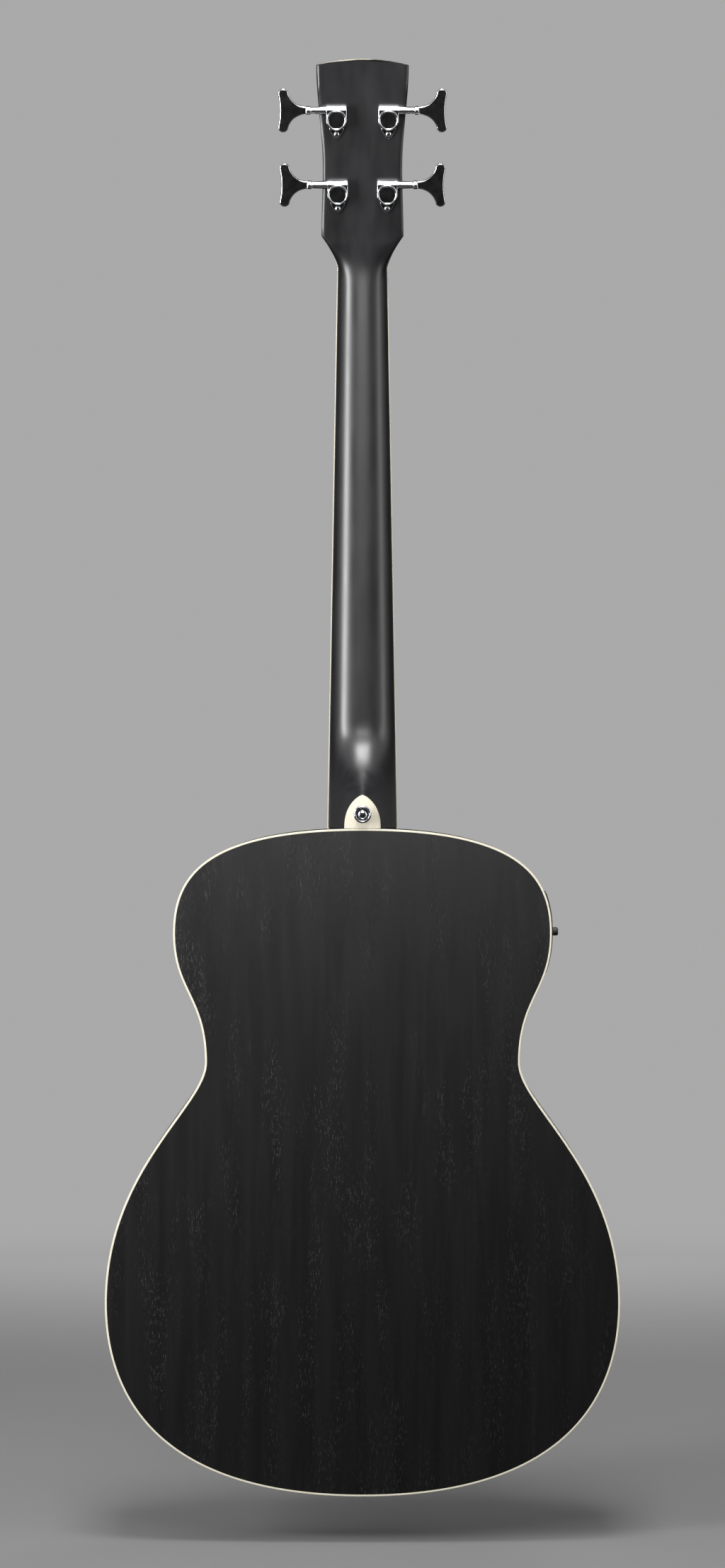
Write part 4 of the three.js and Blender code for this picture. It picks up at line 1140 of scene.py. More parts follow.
def rounded_corner(radius, height, towards_radius, towards_height, size, steps=4):
    """Points that round a corner of a profile, from its radial side to its axial side."""
    points = []
    for i in range(steps + 1):
        turn = math.radians(90) * i / steps
        in_radius, in_height = size * (1 - math.sin(turn)), size * (1 - math.cos(turn))
        points.append((radius - towards_radius * in_radius, height - towards_height * in_height))
    return points


def domed_head(radius, base, height, rim_share, steps):
    """The side and top of a screw's head. The rim is a share of its height, and a dome makes the rest."""
    turns = [math.radians(90) * i / steps for i in range(steps + 1)]
    return [(radius * math.cos(turn), base + height * mix(rim_share, 1, math.sin(turn))) for turn in turns]


button_face = button_base + button_height
profile = [(0, button_base), (base_radius - edge_round, button_base)]
profile += rounded_corner(base_radius, button_base, 1, -1, edge_round)[1:]
button_shares = [(0.1, 0.6), (0.2, 0.2), (0.32, 0), (0.48, 0), (0.6, 0.12), (0.7, 0.4)]
for share, swell in button_shares:
    profile.append((mix(button_waist, base_radius, swell), button_base + button_height * share))
profile += rounded_corner(flange, button_face - flange_thickness, 1, -1, 2 * edge_round)
profile += rounded_corner(flange, button_face, 1, 1, 2 * edge_round)[::-1]
profile += rounded_corner(cup_radius, button_face, -1, 1, edge_round)
profile += [(cup_radius, button_face - 0.8 * cup_depth), (0.9 * cup_radius, button_face - cup_depth)]
profile += [(0, button_face - cup_depth)]
strap_button = turned("strap_button", profile, steps=64)
strap_button.location = button_place
complete(strap_button, "root", [chrome], ["heel_button"], weighted=True)

screw_radius = 3.8 * mm
screw_height = 2.2 * mm
cross_width = 0.9 * mm
cross_depth = 1.1 * mm
screw_gap = 0.05 * mm
screw_base = button_face - cup_depth + screw_gap
dome = [(0, screw_base), (screw_radius, screw_base)]
dome += domed_head(screw_radius, screw_base, screw_height, rim_share=0.35, steps=8)
strap_screw = turned("strap_screw", dome)
cross_cut(strap_screw, cross_width, 1.3 * screw_radius, screw_base + screw_height, cross_depth)
strap_screw.location = button_place
complete(strap_screw, "root", [chrome], ["heel_screw"], weighted=True)

# %% [markdown]
# The headstock's front has a thin black veneer on a pale ply, whose edge shows as a fine light line.
# Both layers are plates over the headstock's outline. They are drawn upright and then tilted back with
# the headstock.

# %% Headstock veneer
head_frame = Matrix.Translation((0, 0, head_start)) @ Matrix.Rotation(-head_tilt, 4, "X")
veneer_thickness = 1.6 * mm
ply_thickness = 0.6 * mm
veneer_foot = 0.8 * mm
veneer_round = 0.3 * mm
foot_steps = 12
edge_steps = 24
arc_steps = 16
edge_points = []
for i in range(foot_steps):
    share = i / foot_steps
    edge_points.append((flare_edge(nut_width / 2, share), mix(veneer_foot, corner_up, share)))
for i in range(edge_steps):
    up = mix(corner_up, top_up, i / edge_steps)
    edge_points.append((head_edge(up), up))
arc_places = [top_half * (1 - 2 * i / arc_steps) for i in range(arc_steps + 1)]
arc_points = [(x, top_up + head_arc(x)) for x in arc_places]
head_outline = edge_points + arc_points + [(-x, up) for x, up in edge_points[::-1]]
veneer = plate("black_veneer", head_outline, 0, veneer_thickness - ply_thickness)
pick(veneer, "edges", lambda middle, along: middle.y < seam and lies_flat(along))
bevel_picked(veneer_round, 2)
veneer.data.materials.append(black_wood)
ply = plate("ply_line", head_outline, veneer_thickness - ply_thickness + seam, veneer_thickness)
ply.data.materials.append(ply_wood)
for layer in (veneer, ply):
    layer.matrix_world = head_frame
    settle(layer)

# %% [markdown]
# The four string posts pass through the headstock, so the neck and the veneer are bored for them. A
# cutter the size of the bore is set at each place, turned with the headstock, and taken away from both.

# %% Post holes
tuner_places = {
    "e": (-1, 20.8 * mm, 62.8 * mm),
    "a": (-1, 21.8 * mm, 125.1 * mm),
    "d": (1, 21.8 * mm, 125.1 * mm),
    "g": (1, 20.8 * mm, 62.8 * mm),
}
post_radius = 4.5 * mm
running_gap = 0.35 * mm
for name, (hand, aside, up) in tuner_places.items():
    for piece in (neck, veneer, ply):
        deselect()
        bpy.ops.mesh.primitive_cylinder_add(
            vertices=48,
            radius=post_radius + running_gap,
            depth=4 * head_thickness,
            rotation=(math.radians(90), 0, 0),
        )
        cutter = settle(named("post_bore"))
        cutter.matrix_world = head_frame @ Matrix.Translation((hand * aside, 0, up))
        cut(piece, cutter)
complete(joined("headstock_face", [veneer, ply]), "root", [], ["headstock_plate"])
print("neck after boring:", len(neck.data.polygons), "faces")

# %% [markdown]
# A tuner is drawn once, for the right-hand side: X runs out to the key, Y out of the headstock's back, Z
# up. Its housing is a round cup with a tube for the worm across its top, a stem for the key's shaft, and
# a pointed tab that takes the screw. Each is shaped and rounded by itself, then they are united and
# hollowed for the gear.

# %% Tuner housing
worm_height = 5.2 * mm
worm_up = 8 * mm
cup_outer = 8.7 * mm
cup_height = 10.5 * mm
foot_gap = 0.3 * mm
face_radius = 6.8 * mm
face_recess = 0.4 * mm
barrel_radius = 4.4 * mm
stem_length = 13 * mm
stem_radius = 3.5 * mm
stem_tip = 2.9 * mm
tab_tip = 16 * mm
tab_half = 6.2 * mm
tab_thickness = 2.2 * mm
tab_screw_down = 12.2 * mm
tab_screw_head = 2.3 * mm
gear_room = 6.35 * mm
gear_roof = 7.9 * mm
worm_room = 3.25 * mm
worm_reach = 4.1 * mm
shaft_bore = 2.1 * mm
worm_axis = Matrix.Translation((0, worm_height, worm_up)) @ Matrix.Rotation(math.radians(-90), 4, "Z")


def on_worm_axis(piece):
    """Lays a piece that was turned about Y along the worm's axis, with its heights running out to the key."""
    piece.matrix_world = worm_axis
    return settle(piece)


def quadratic(start, control, end, steps):
    """Points on a curve from a start towards a control point and on to an end, which isn't among them."""
    points = []
    for i in range(steps):
        t = i / steps
        weights = (1 - t) ** 2, 2 * t * (1 - t), t * t
        points.append(tuple(sum(w * v for w, v in zip(weights, axis)) for axis in zip(start, control, end)))
    return points


rim_middle = (cup_outer + face_radius) / 2
rim_half = (cup_outer - face_radius) / 2
rim_height = 0.9 * mm
rim_steps = 8
cup_face = cup_height - rim_height - face_recess / 2
profile = [(0, foot_gap), (cup_outer, foot_gap)]
for i in range(rim_steps + 1):
    turn = math.radians(180) * i / rim_steps
    height = cup_height - rim_height + rim_height * math.sin(turn)
    profile.append((rim_middle + rim_half * math.cos(turn), height))
profile += [(face_radius, cup_face), (0, cup_face)]
housing = turned("tuner_housing", profile, steps=64)

# The parts that are united are set a little inside one another, so that no two faces lie in one plane.
tuck = 0.06 * mm
shoulder_half = cup_outer - tuck
shoulder_round = 0.7 * mm
shoulder = box_between(
    "shoulder", (-shoulder_half, foot_gap + tuck, 0), (shoulder_half, cup_face - tuck, worm_up)
)
pick(shoulder, "edges", lambda middle, along: middle.y > cup_height / 2 and abs(middle.x) > cup_outer / 2)
bevel_picked(shoulder_round, 4)
barrel_profile = [(0, -cup_outer), (barrel_radius - 2 * edge_round, -cup_outer)]
barrel_profile += rounded_corner(barrel_radius, -cup_outer, 1, -1, 2 * edge_round)[1:]
barrel_profile += rounded_corner(barrel_radius, cup_outer, 1, 1, edge_round)[::-1]
barrel_profile += [(0, cup_outer)]
barrel = on_worm_axis(turned("worm_tube", barrel_profile))
stem_end = cup_outer + stem_length
stem_profile = [(0, 0), (stem_radius, 0), (stem_radius, cup_outer - tuck)]
stem_profile += [(mix(stem_radius, stem_tip, 0.5), cup_outer + stem_length / 2)]
stem_profile += rounded_corner(stem_tip, stem_end, 1, 1, 0.6 * edge_round)[::-1]
stem_profile += [(0, stem_end)]
stem = on_worm_axis(turned("stem", stem_profile))

tab_turn = tab_screw_head / 2
tab_steps = 8
tab_round = 0.8 * mm
tab_left, tab_right = (-tab_screw_head, tab_turn - tab_tip), (tab_screw_head, tab_turn - tab_tip)
tab_outline = [(-tab_half, 0), (-tab_half, -cup_outer)]
tab_outline += quadratic(tab_left, (0, -tab_tip - tab_turn), tab_right, tab_steps)
tab_outline += [tab_right, (tab_half, -cup_outer), (tab_half, 0)]
tab = plate("screw_tab", tab_outline, foot_gap + 2 * tuck, foot_gap + tab_thickness)
tab_middle = foot_gap + tab_thickness / 2
pick(tab, "edges", lambda middle, along: middle.y > tab_middle and middle.z < 0 and lies_flat(along))
bevel_picked(tab_round, 4)

for part in (shoulder, barrel, stem, tab):
    apply_modifier(housing, "BOOLEAN", operation="UNION", solver="EXACT", object=part)
    bpy.data.objects.remove(part)


def cylinder(name, radius, low, high):
    """A plain cutter about the Y axis between two heights."""
    return turned(name, [(0, low), (radius, low), (radius, high), (0, high)], steps=40)


cut(housing, cylinder("gear_room", gear_room, -mm, gear_roof))
cut(housing, on_worm_axis(cylinder("worm_room", worm_room, -worm_reach, worm_reach)))
cut(housing, on_worm_axis(cylinder("shaft_bore", shaft_bore, 0, 2 * stem_end)))
tidied(housing)
print("housing:", len(housing.data.polygons), "faces")

# %% [markdown]
# The key is a flat fishtail with full round edges, on a shaft that carries the worm inside the housing.
# Its outline is a few curves, made a plate and bevelled all round. The worm is a skin whose radius rises
# on a helix.

# %% Tuner key
shaft_radius = 1.8 * mm
collar_radius = 3.7 * mm
collar_length = 3 * mm
key_length = 24 * mm
key_half = 18.2 * mm
key_thickness = 4.4 * mm
key_waist = 3 * mm
lobe_radius = 4.3 * mm
key_hollow = 1.6 * mm
key_bevel = 1 * mm
worm_turns = 4
gear_module = 0.55 * mm
worm_lead = math.pi * gear_module
worm_root = 1.8 * mm
worm_tip = 2.95 * mm
key_steps = 14
lobe_steps = 12
key_start = stem_end + foot_gap + collar_length
key_end = key_start + key_length
lobe_x = key_end - lobe_radius
lobe_z = key_half - lobe_radius
flank_x = key_start + key_length / 2
flank_z = 1.35 * key_waist


def lobe(z, start):
    """The half circle of a lobe, from a turn on."""
    turns = [start + math.radians(180) * i / lobe_steps for i in range(lobe_steps)]
    return [(lobe_x + lobe_radius * math.cos(turn), lobe_radius * math.sin(turn) + z) for turn in turns]


inner_x = lobe_x - lobe_radius
key_outline = quadratic((key_start, -key_waist), (flank_x, -flank_z), (inner_x, -lobe_z), key_steps)
key_outline += lobe(-lobe_z, math.radians(180))
key_outline += quadratic((key_end, -lobe_z), (key_end - 2 * key_hollow, 0), (key_end, lobe_z), key_steps)
key_outline += lobe(lobe_z, 0)
key_outline += quadratic((inner_x, lobe_z), (flank_x, flank_z), (key_start, key_waist), key_steps)
key_outline.append((key_start, key_waist))
key_outline = [(x, z + worm_up) for x, z in key_outline]
button = plate("key_button", key_outline, worm_height - key_thickness / 2, worm_height + key_thickness / 2)
pick(button, "edges", lambda middle, along: lies_flat(along))
bpy.ops.mesh.bevel(offset=key_bevel, segments=5, affect="EDGES", clamp_overlap=False)
leave_edit()

collar_profile = [(0, stem_end + foot_gap)]
collar_profile += rounded_corner(collar_radius, stem_end + foot_gap, 1, -1, edge_round)
collar_profile += rounded_corner(collar_radius, key_start + foot_gap, 1, 1, edge_round)[::-1]
collar_profile += [(0, key_start + foot_gap)]
collar = on_worm_axis(turned("collar", collar_profile))
ridge_points = 20
rows = worm_turns * ridge_points
worm_length = worm_turns * worm_lead
sections = []
for row in range(rows + 1):
    section = []
    for i in range(ridge_points):
        turn = 2 * math.pi * i / ridge_points
        lag = math.cos(turn - 2 * math.pi * worm_turns * row / rows)
        rise = max(0, 2 * lag - 1) if 0 < row < rows else 0
        radius = mix(worm_root, worm_tip, rise)
        along = (row / rows - 0.5) * worm_length
        y, z = worm_height + radius * math.sin(turn), worm_up - radius * math.cos(turn)
        section.append(Vector((along, y, z)))
    sections.append(section)
worm = skin("worm", sections)
shaft = on_worm_axis(cylinder("shaft", shaft_radius, worm_length / 2 - foot_gap, stem_end + 2 * foot_gap))
key = joined("tuner_key", [button, collar, worm, shaft])
print("key:", len(key.data.polygons), "faces")

# %% [markdown]
# The string post has a gear with twenty teeth in the housing, a plain shaft through the headstock, and a
# slotted end in front. The gear's outline is repeated on a few heights with a slight twist, so its teeth
# follow the worm.

# %% String post
gear_teeth = 20
gear_radius = gear_teeth * gear_module / 2
gear_thickness = 4 * mm
gear_levels = 4
tip_room = 0.1 * mm
root_room = 0.2 * mm
gear_tip = gear_radius + gear_module - tip_room
gear_root = gear_radius - gear_module - root_room
worm_pitch_radius = 2.5 * mm
gear_twist = gear_thickness * worm_lead / (4 * math.pi * worm_pitch_radius * gear_radius)
tooth_shares = [(gear_root, -0.31), (gear_tip, -0.15), (gear_tip, 0.15), (gear_root, 0.31)]
post_out = 19 * mm
capstan_radius = 5.6 * mm
wind_start = 5.5 * mm
wind_length = 7 * mm
slot_width = 2.8 * mm
slot_depth = 5 * mm
sections = []
for level in range(gear_levels + 1):
    share = level / gear_levels
    height = worm_height + gear_thickness * (share - 0.5)
    ring = []
    for tooth in range(gear_teeth):
        for radius, offset in tooth_shares:
            turn = (tooth + 0.5 + offset) * 2 * math.pi / gear_teeth + gear_twist * (2 * share - 1)
            ring.append(Vector((radius * math.sin(turn), height, radius * math.cos(turn))))
    sections.append(ring)
gear = skin("gear", sections)
face = -head_thickness
post_top = face - post_out
post_foot = worm_height + gear_thickness / 2 - 2 * foot_gap
wind_end = face - wind_start - wind_length
post_profile = [(0, post_foot), (post_radius, post_foot), (post_radius, wind_end)]
post_profile += rounded_corner(capstan_radius, wind_end - foot_gap, 1, 1, edge_round)[::-1]
post_profile += rounded_corner(capstan_radius, post_top, 1, -1, 2 * edge_round)
post_profile += [(0, post_top)]
post_body = turned("post_body", post_profile[::-1])
cut(
    post_body,
    box_between(
        "post_slot",
        (-slot_width / 2, post_top - mm, -2 * capstan_radius),
        (slot_width / 2, post_top + slot_depth, 2 * capstan_radius),
    ),
)
post = joined("string_post", [post_body, gear])
post.data.materials.append(chrome)

# %% [markdown]
# In front of the headstock a round bushing guides each post, and behind it a small domed screw holds the
# housing's tab.

# %% Bushing and tab screw
bushing_radius = 8.4 * mm
bushing_thickness = 2.8 * mm
bore = post_radius + running_gap
seat = -head_thickness - foot_gap
profile = [(bore, seat), (bushing_radius, seat)]
profile += rounded_corner(bushing_radius, -head_thickness - 0.45 * bushing_thickness, 1, -1, edge_round)[::-1]
dome_shares = [(0.75, 0.62), (0.5, 0.84), (0.3, 0.95), (0.12, 1)]
for share, height in dome_shares:
    profile.append((mix(bore, bushing_radius, share), -head_thickness - bushing_thickness * height))
profile += [(bore, -head_thickness - bushing_thickness)]
bushing = turned("post_bushing", profile[::-1])
tab_seat = foot_gap + tab_thickness
tab_screw_height = 1.4 * mm
profile = [(0, tab_seat - mm), (0.5 * tab_screw_head, tab_seat - mm), (0.5 * tab_screw_head, tab_seat)]
profile += [(tab_screw_head, tab_seat)]
profile += domed_head(tab_screw_head, tab_seat, tab_screw_height, rim_share=0.25, steps=6)
tab_screw = turned("tab_screw", profile, steps=32)
screw_cross = 0.6 * mm
cross_cut(tab_screw, screw_cross, 1.2 * tab_screw_head, tab_seat + tab_screw_height, screw_cross)
for vertex in tab_screw.data.vertices:
    vertex.co.z -= tab_screw_down

# %% [markdown]
# Each tuner is set on the headstock by one placement: out to its post, up the headstock, tilted back
# with it. The two on the other side are mirrored. Every copy has its own mesh, and the keys and posts
# ride on the bodies that turn them.

# %% Four tuners
string_diameters = {"e": 2.54 * mm, "a": 2.03 * mm, "d": 1.65 * mm, "g": 1.14 * mm}
winding_gap = 0.02 * mm
string_sides = 12
coil_steps = 24  # in one turn


def copy_of(piece, name):
    made = piece.copy()
    made.data = piece.data.copy()
    made.name = name
    made.data.name = name
    bpy.context.collection.objects.link(made)
    return made


def coil(diameter):
    """The string's turns: a ring beside the post, carried round it and down by a screw modifier."""
    radius = diameter / 2
    turns_wound = (wind_length - diameter) / (diameter + winding_gap)
    start = -head_thickness - wind_start - radius
    steps = round(turns_wound * coil_steps)
    deselect()
    bpy.ops.mesh.primitive_circle_add(
        vertices=string_sides, radius=radius, location=(post_radius + radius, start, 0)
    )
    tube = settle(named("coil"))
    apply_modifier(
        tube,
        "SCREW",
        axis="Y",
        angle=-2 * math.pi * turns_wound,
        screw_offset=diameter - wind_length,
        steps=steps,
        render_steps=steps,
    )
    edit(tube)
    bpy.ops.mesh.fill_holes(sides=0)
    face_outwards()
    leave_edit()
    return tube


for name, (hand, aside, up) in tuner_places.items():
    placement = head_frame @ Matrix.Translation((hand * aside, head_thickness, up))
    placement = placement @ Matrix.Scale(hand, 4, (1, 0, 0))
    winding = coil(string_diameters[name])
    winding.data.materials.append(bronze_winding)
    wound_post = joined(f"post_{name}", [copy_of(post, "post_copy"), winding])
    copies = [
        (copy_of(housing, f"housing_{name}"), "root", "tuner_housing_"),
        (copy_of(key, f"key_{name}"), f"key_{name}", "tuner_key_"),
        (wound_post, f"post_{name}", "tuner_post_"),
        (copy_of(bushing, f"bushing_{name}"), "root", "tuner_bushing_"),
        (copy_of(tab_screw, f"tab_screw_{name}"), "root", "tuner_screw_"),
    ]
    for piece, body, node in copies:
        piece.matrix_world = placement
        complete(piece, body, [chrome], [node + name], weighted=True)
for pattern in (housing, key, post, bushing, tab_screw):
    bpy.data.objects.remove(pattern)

# %% [markdown]
# The fretboard is a long plate whose playing side is part of a cylinder. Its section is drawn from the
# flat underside over the curved top, and it widens along its length. An ivory strip runs round both
# sides and the end.

# %% Fretboard and its binding
board_length = 562 * mm
board_thickness = 6.5 * mm
board_radius = 400 * mm
board_binding = 1.5 * mm
under_gap = 0.3 * mm
across_steps = 14
board_steps = 12


def board_surface(x):
    return board_thickness - x**2 / (2 * board_radius)


def board_section(z):
    half = board_half(z) - board_binding - seam
    top = [mix(-half, half, i / across_steps) for i in range(across_steps + 1)]
    return [Vector((half, -under_gap, z)), Vector((-half, -under_gap, z))] + [
        Vector((x, -board_surface(x), z)) for x in top
    ]


board_end = board_binding + seam - board_length
board_places = [mix(board_end, 0, i / board_steps) for i in range(board_steps + 1)]
fretboard = skin("playing_board", [board_section(z) for z in board_places])
complete(fretboard, "root", [board_wood], ["fretboard"])

binding_top = board_surface(board_half(-board_length))
binding_ease = 0.5 * mm
binding_corners = [
    (board_binding, -under_gap),
    (board_binding, -binding_top),
    (binding_ease, -binding_top),
    (0.3 * binding_ease, 0.3 * binding_ease - binding_top),
    (0, binding_ease - binding_top),
    (0, -under_gap),
]


def binding_ring(hand, z, along):
    """A section of the fretboard's binding. At the board's end it is mitred: along moves it as it goes in."""
    half = board_half(z)
    return [Vector((hand * (half - out), height, z + along * out)) for out, height in binding_corners]


# Sections are joined to their nearest neighbours. Each side needs enough of them to be nearer than the
# other.
binding_steps = 28
stations = [(-board_length * i / binding_steps, i // binding_steps) for i in range(binding_steps + 1)]
rings = [binding_ring(1, *station) for station in stations]
rings += [binding_ring(-1, *station) for station in stations[::-1]]
board_strip = skin("fretboard_edge_binding", rings)
complete(board_strip, "root", [celluloid], ["fretboard_binding"])

# %% [markdown]
# Each of the twenty frets is a round-topped wire that follows the board's curve. Its place is one
# twelfth of an octave further along the string than the one before. The ends are filed to a slope.

# %% Frets and position dots
scale_length = 813 * mm
fret_count = 20
fret_width = 2.4 * mm
fret_height = 1.1 * mm
fret_root = 0.4 * mm
fret_inset = 0.3 * mm
profile_shares = [(-0.5, 0), (-0.46, 0.45), (-0.3, 0.85), (0, 1), (0.3, 0.85), (0.46, 0.45), (0.5, 0)]
station_shares = [0, 0.02, 0.2, 0.35, 0.5, 0.65, 0.8, 0.98, 1]
filed_share = 0.25  # of the height is left at the ends


def fret_place(number):
    return -scale_length * (1 - 2 ** (-number / 12))


frets = []
for number in range(1, fret_count + 1):
    z = fret_place(number)
    half = board_half(z) - fret_inset
    rings = []
    for share in station_shares:
        x = mix(-half, half, share)
        height = fret_height * (filed_share if share in (0, 1) else 1)
        surface = board_surface(x)
        ring = [Vector((x, -surface - height * high, z + fret_width * wide)) for wide, high in profile_shares]
        rings.append(ring + [Vector((x, fret_root - surface, z))])
    frets.append(skin("fret", rings))
complete(joined("fret_wires", frets), "root", [nickel_silver])

# The twelfth fret, at half the string's length, has two dots.
marked_frets = (3, 5, 7, 9, 12, 15, 17, 19)
octave_fret = 12
dot_radius = 3 * mm
dot_aside = 9 * mm
dot_depth = 0.4 * mm
dot_proud = 0.05 * mm
side_dot_radius = 1.1 * mm
side_dot_aside = 6 * mm
side_dot_proud = 0.04 * mm


def disc(radius, steps, x, z):
    turns = [2 * math.pi * i / steps for i in range(steps)]
    return [(x + radius * math.cos(turn), z + radius * math.sin(turn)) for turn in turns]


dots = []
side_dots = []
for number in marked_frets:
    z = (fret_place(number) + fret_place(number - 1)) / 2
    signs = (-1, 1) if number == octave_fret else (0,)
    for sign in signs:
        x = sign * dot_aside
        surface = board_surface(x)
        dots.append(plate("dot", disc(dot_radius, 24, x, z), -surface - dot_proud, -surface + dot_depth))
        mark = plate("side_dot", disc(side_dot_radius, 16, 0, z + sign * side_dot_aside), 0, dot_depth)
        for vertex in mark.data.vertices:
            outer = -(board_half(vertex.co.z) + side_dot_proud) + vertex.co.y
            vertex.co.x, vertex.co.y = outer, vertex.co.x - board_thickness / 2
        side_dots.append(mark)
complete(joined("position_dots", dots), "root", [celluloid])
complete(joined("side_dots", side_dots), "root", [black_abs])

# %% [markdown]
# The strings run straight from the bridge over the saddle and nut to their posts. Each is a round skin
# over a few sections, thin enough for a dozen points. A brass ring behind the bridge holds each string's
# end.

# %% Strings
nut_gap = 11.3 * mm
saddle_gap = 18.5 * mm
nut_floor = 8 * mm
saddle_floor = 12.7 * mm
saddle_z = -scale_length
bridge_behind = 25 * mm
rear_z = saddle_z - bridge_behind
exit_height = 3.4 * mm


def string_path(name, index):
    radius = string_diameters[name] / 2
    hand, aside, up = tuner_places[name]
    lane = index - 1.5
    wound = post_radius + 2 * radius
    in_front = wind_start + wind_length / 2
    end = head_frame @ Vector((hand * (aside - wound - radius - foot_gap), -in_front, up))
    return radius, [
        Vector((lane * saddle_gap, -exit_height - radius, rear_z)),
        Vector((lane * saddle_gap, -saddle_floor - radius, saddle_z)),
        Vector((lane * nut_gap, -nut_floor - radius, 0)),
        Vector((lane * nut_gap, -nut_floor - radius, head_start)),
        end,
    ]


def string_tube(name, path, radius):
    rings = []
    for place in path:
        ring = []
        for i in range(string_sides):
            turn = 2 * math.pi * (i + 0.5) / string_sides
            ring.append(place + Vector((radius * math.cos(turn), radius * math.sin(turn), 0)))
        rings.append(ring)
    return skin(name, rings)


string_paths = {name: string_path(name, index) for index, name in enumerate(tuner_places)}
ball_radius = 2.8 * mm
ball_length = 4.5 * mm
ball_shares = [(0.4, 0), (0.8, 0), (1, 0.25), (0.75, 0.5), (1, 0.75), (0.8, 1), (0.4, 1)]
ball_gap = Vector((0, 0, 0.2 * mm))
for name, (radius, path) in string_paths.items():
    tube = string_tube(f"string_{name}_wire", path, radius)
    tube.data.materials.append(bronze_winding)
    ball = turned("ball", [(ball_radius * out, ball_length * down) for out, down in ball_shares], steps=24)
    ball.matrix_world = Matrix.Translation(path[0] - ball_gap) @ Matrix.Rotation(math.radians(-90), 4, "X")
    ball.data.materials.append(brass)
    complete(joined(f"string_{name}_wound", [tube, ball]), "root", [], ["string_" + name])

# %% [markdown]
# The nut is a small block of bone with a rounded top. The strings lie in filed grooves in it, which are
# cut here with the strings' own shapes, slightly enlarged.

# %% Nut
nut_thickness = 4 * mm
nut_height = 9.2 * mm
nut_round = 1 * mm
groove_room = 0.15 * mm
nut = box_between(
    "bone_nut",
    (-nut_width / 2, -nut_height, under_gap),
    (nut_width / 2, -under_gap, under_gap + nut_thickness),
)
pick(nut, "edges", lambda middle, along: middle.y < seam - nut_height)
bevel_picked(nut_round, 4)
for name, (radius, path) in string_paths.items():
    cut(nut, string_tube("groove", path, radius + groove_room))
complete(nut, "root", [polished_bone], ["nut"])

# %% [markdown]
# The bridge is one piece of dark wood with rounded corners and eased edges. The strings go into holes in
# its rear edge and come out on top. A slot across it holds the saddle, a block of bone with a round top.

# %% Bridge and saddle
bridge_half = 76 * mm
bridge_ahead = 14 * mm
bridge_front = saddle_z + bridge_ahead
bridge_height = 9 * mm
bridge_corner = 8 * mm
bridge_round = 2.2 * mm
hole_overrun = 2 * mm
saddle_half = 38 * mm
saddle_thickness = 3.2 * mm
slot_floor = 2.8 * mm
quarter = []
for degrees in range(0, 91, 15):
    turn = math.radians(degrees)
    inset = bridge_corner * (1 - math.sin(turn))
    quarter.append((bridge_half - bridge_corner * (1 - math.cos(turn)), inset))
bridge_outline = [(x, bridge_front - inset) for x, inset in quarter]
bridge_outline += [(-x, bridge_front - inset) for x, inset in quarter[::-1]]
bridge_outline += [(-x, rear_z + inset) for x, inset in quarter]
bridge_outline += [(x, rear_z + inset) for x, inset in quarter[::-1]]
bridge = plate("wooden_bridge", bridge_outline, -under_gap, -under_gap - bridge_height)
pick(bridge, "edges", lambda middle, along: middle.y < -bridge_height and lies_flat(along))
bevel_picked(bridge_round, 5)
cut(
    bridge,
    box_between(
        "saddle_slot",
        (-saddle_half - under_gap, -2 * bridge_height, saddle_z - saddle_thickness / 2 - seam),
        (saddle_half + under_gap, -slot_floor, saddle_z + saddle_thickness / 2 + seam),
    ),
)
for name, (radius, path) in string_paths.items():
    beyond = path[0] + (path[0] - path[1]).normalized() * hole_overrun
    cut(bridge, string_tube("string_hole", [beyond, path[0], path[1]], radius + 2 * groove_room))
complete(bridge, "root", [bridge_wood], ["bridge"])

saddle_top = saddle_floor - under_gap
saddle_round = 1.3 * mm
pickup_thickness = 1.2 * mm
pickup_top = slot_floor + under_gap + pickup_thickness
saddle = box_between(
    "bone_saddle",
    (-saddle_half, -saddle_top, saddle_z - saddle_thickness / 2),
    (saddle_half, -pickup_top - under_gap, saddle_z + saddle_thickness / 2),
)
pick(saddle, "edges", lambda middle, along: middle.y < seam - saddle_top and abs(along.x) > 0.5)
bevel_picked(saddle_round, 5)
complete(saddle, "root", [polished_bone], ["saddle"])

# %% [markdown]
# The preamp's panel is a thin moulded plate that follows the curve of the side. It is a short skin along the
# outline, rounded at its edges, with holes for the two knobs and the push button, and a display window.

# %% Preamp panel
panel_z = body_top - upper_bout[1]
panel_half_length = 33 * mm
panel_half_height = 23 * mm
panel_middle = 57 * mm
panel_thickness = 1.5 * mm
knob_spacing = 13 * mm
bass_line = sorted((p for p in outline if p.x < 0 and p.z > body_top - waist[1]), key=lambda p: p.z)


def side_place(z):
    """The point of the bass side at a height, and the way out of it."""
    for a, b in zip(bass_line, bass_line[1:]):
        if a.z <= z <= b.z:
            place = a.lerp(b, (z - a.z) / (b.z - a.z))
            along = (b - a).normalized()
            return place, Vector((-along.z, 0, along.x))
    return bass_line[0], Vector((-1, 0, 0))


def on_side(name, z_low, z_high, y_low, y_high, out_low, out_high, steps=20):
    """A curved plate on the bass side."""
    rings = []
    for i in range(steps + 1):
        place, outward = side_place(mix(z_low, z_high, i / steps))
        corners = [(out_low, y_low), (out_low, y_high), (out_high, y_high), (out_high, y_low)]
        rings.append([Vector((place.x, y, place.z)) + outward * out for out, y in corners])
    return skin(name, rings)


panel_seat = 0.3 * mm
panel_top = panel_seat + panel_thickness
panel = on_side(
    "control_panel",
    panel_z - panel_half_length,
    panel_z + panel_half_length,
    panel_middle - panel_half_height,
    panel_middle + panel_half_height,
    panel_seat,
    panel_top,
)
panel_corner = 4 * mm
panel_round = 0.5 * mm
pick(panel, "edges", lambda middle, along: abs(along.y) < 0.1 and abs(along.x) > 0.6)
bevel_picked(panel_corner, 6)
apply_modifier(
    panel, "BEVEL", width=panel_round, segments=3, limit_method="ANGLE", angle_limit=math.radians(40)
)

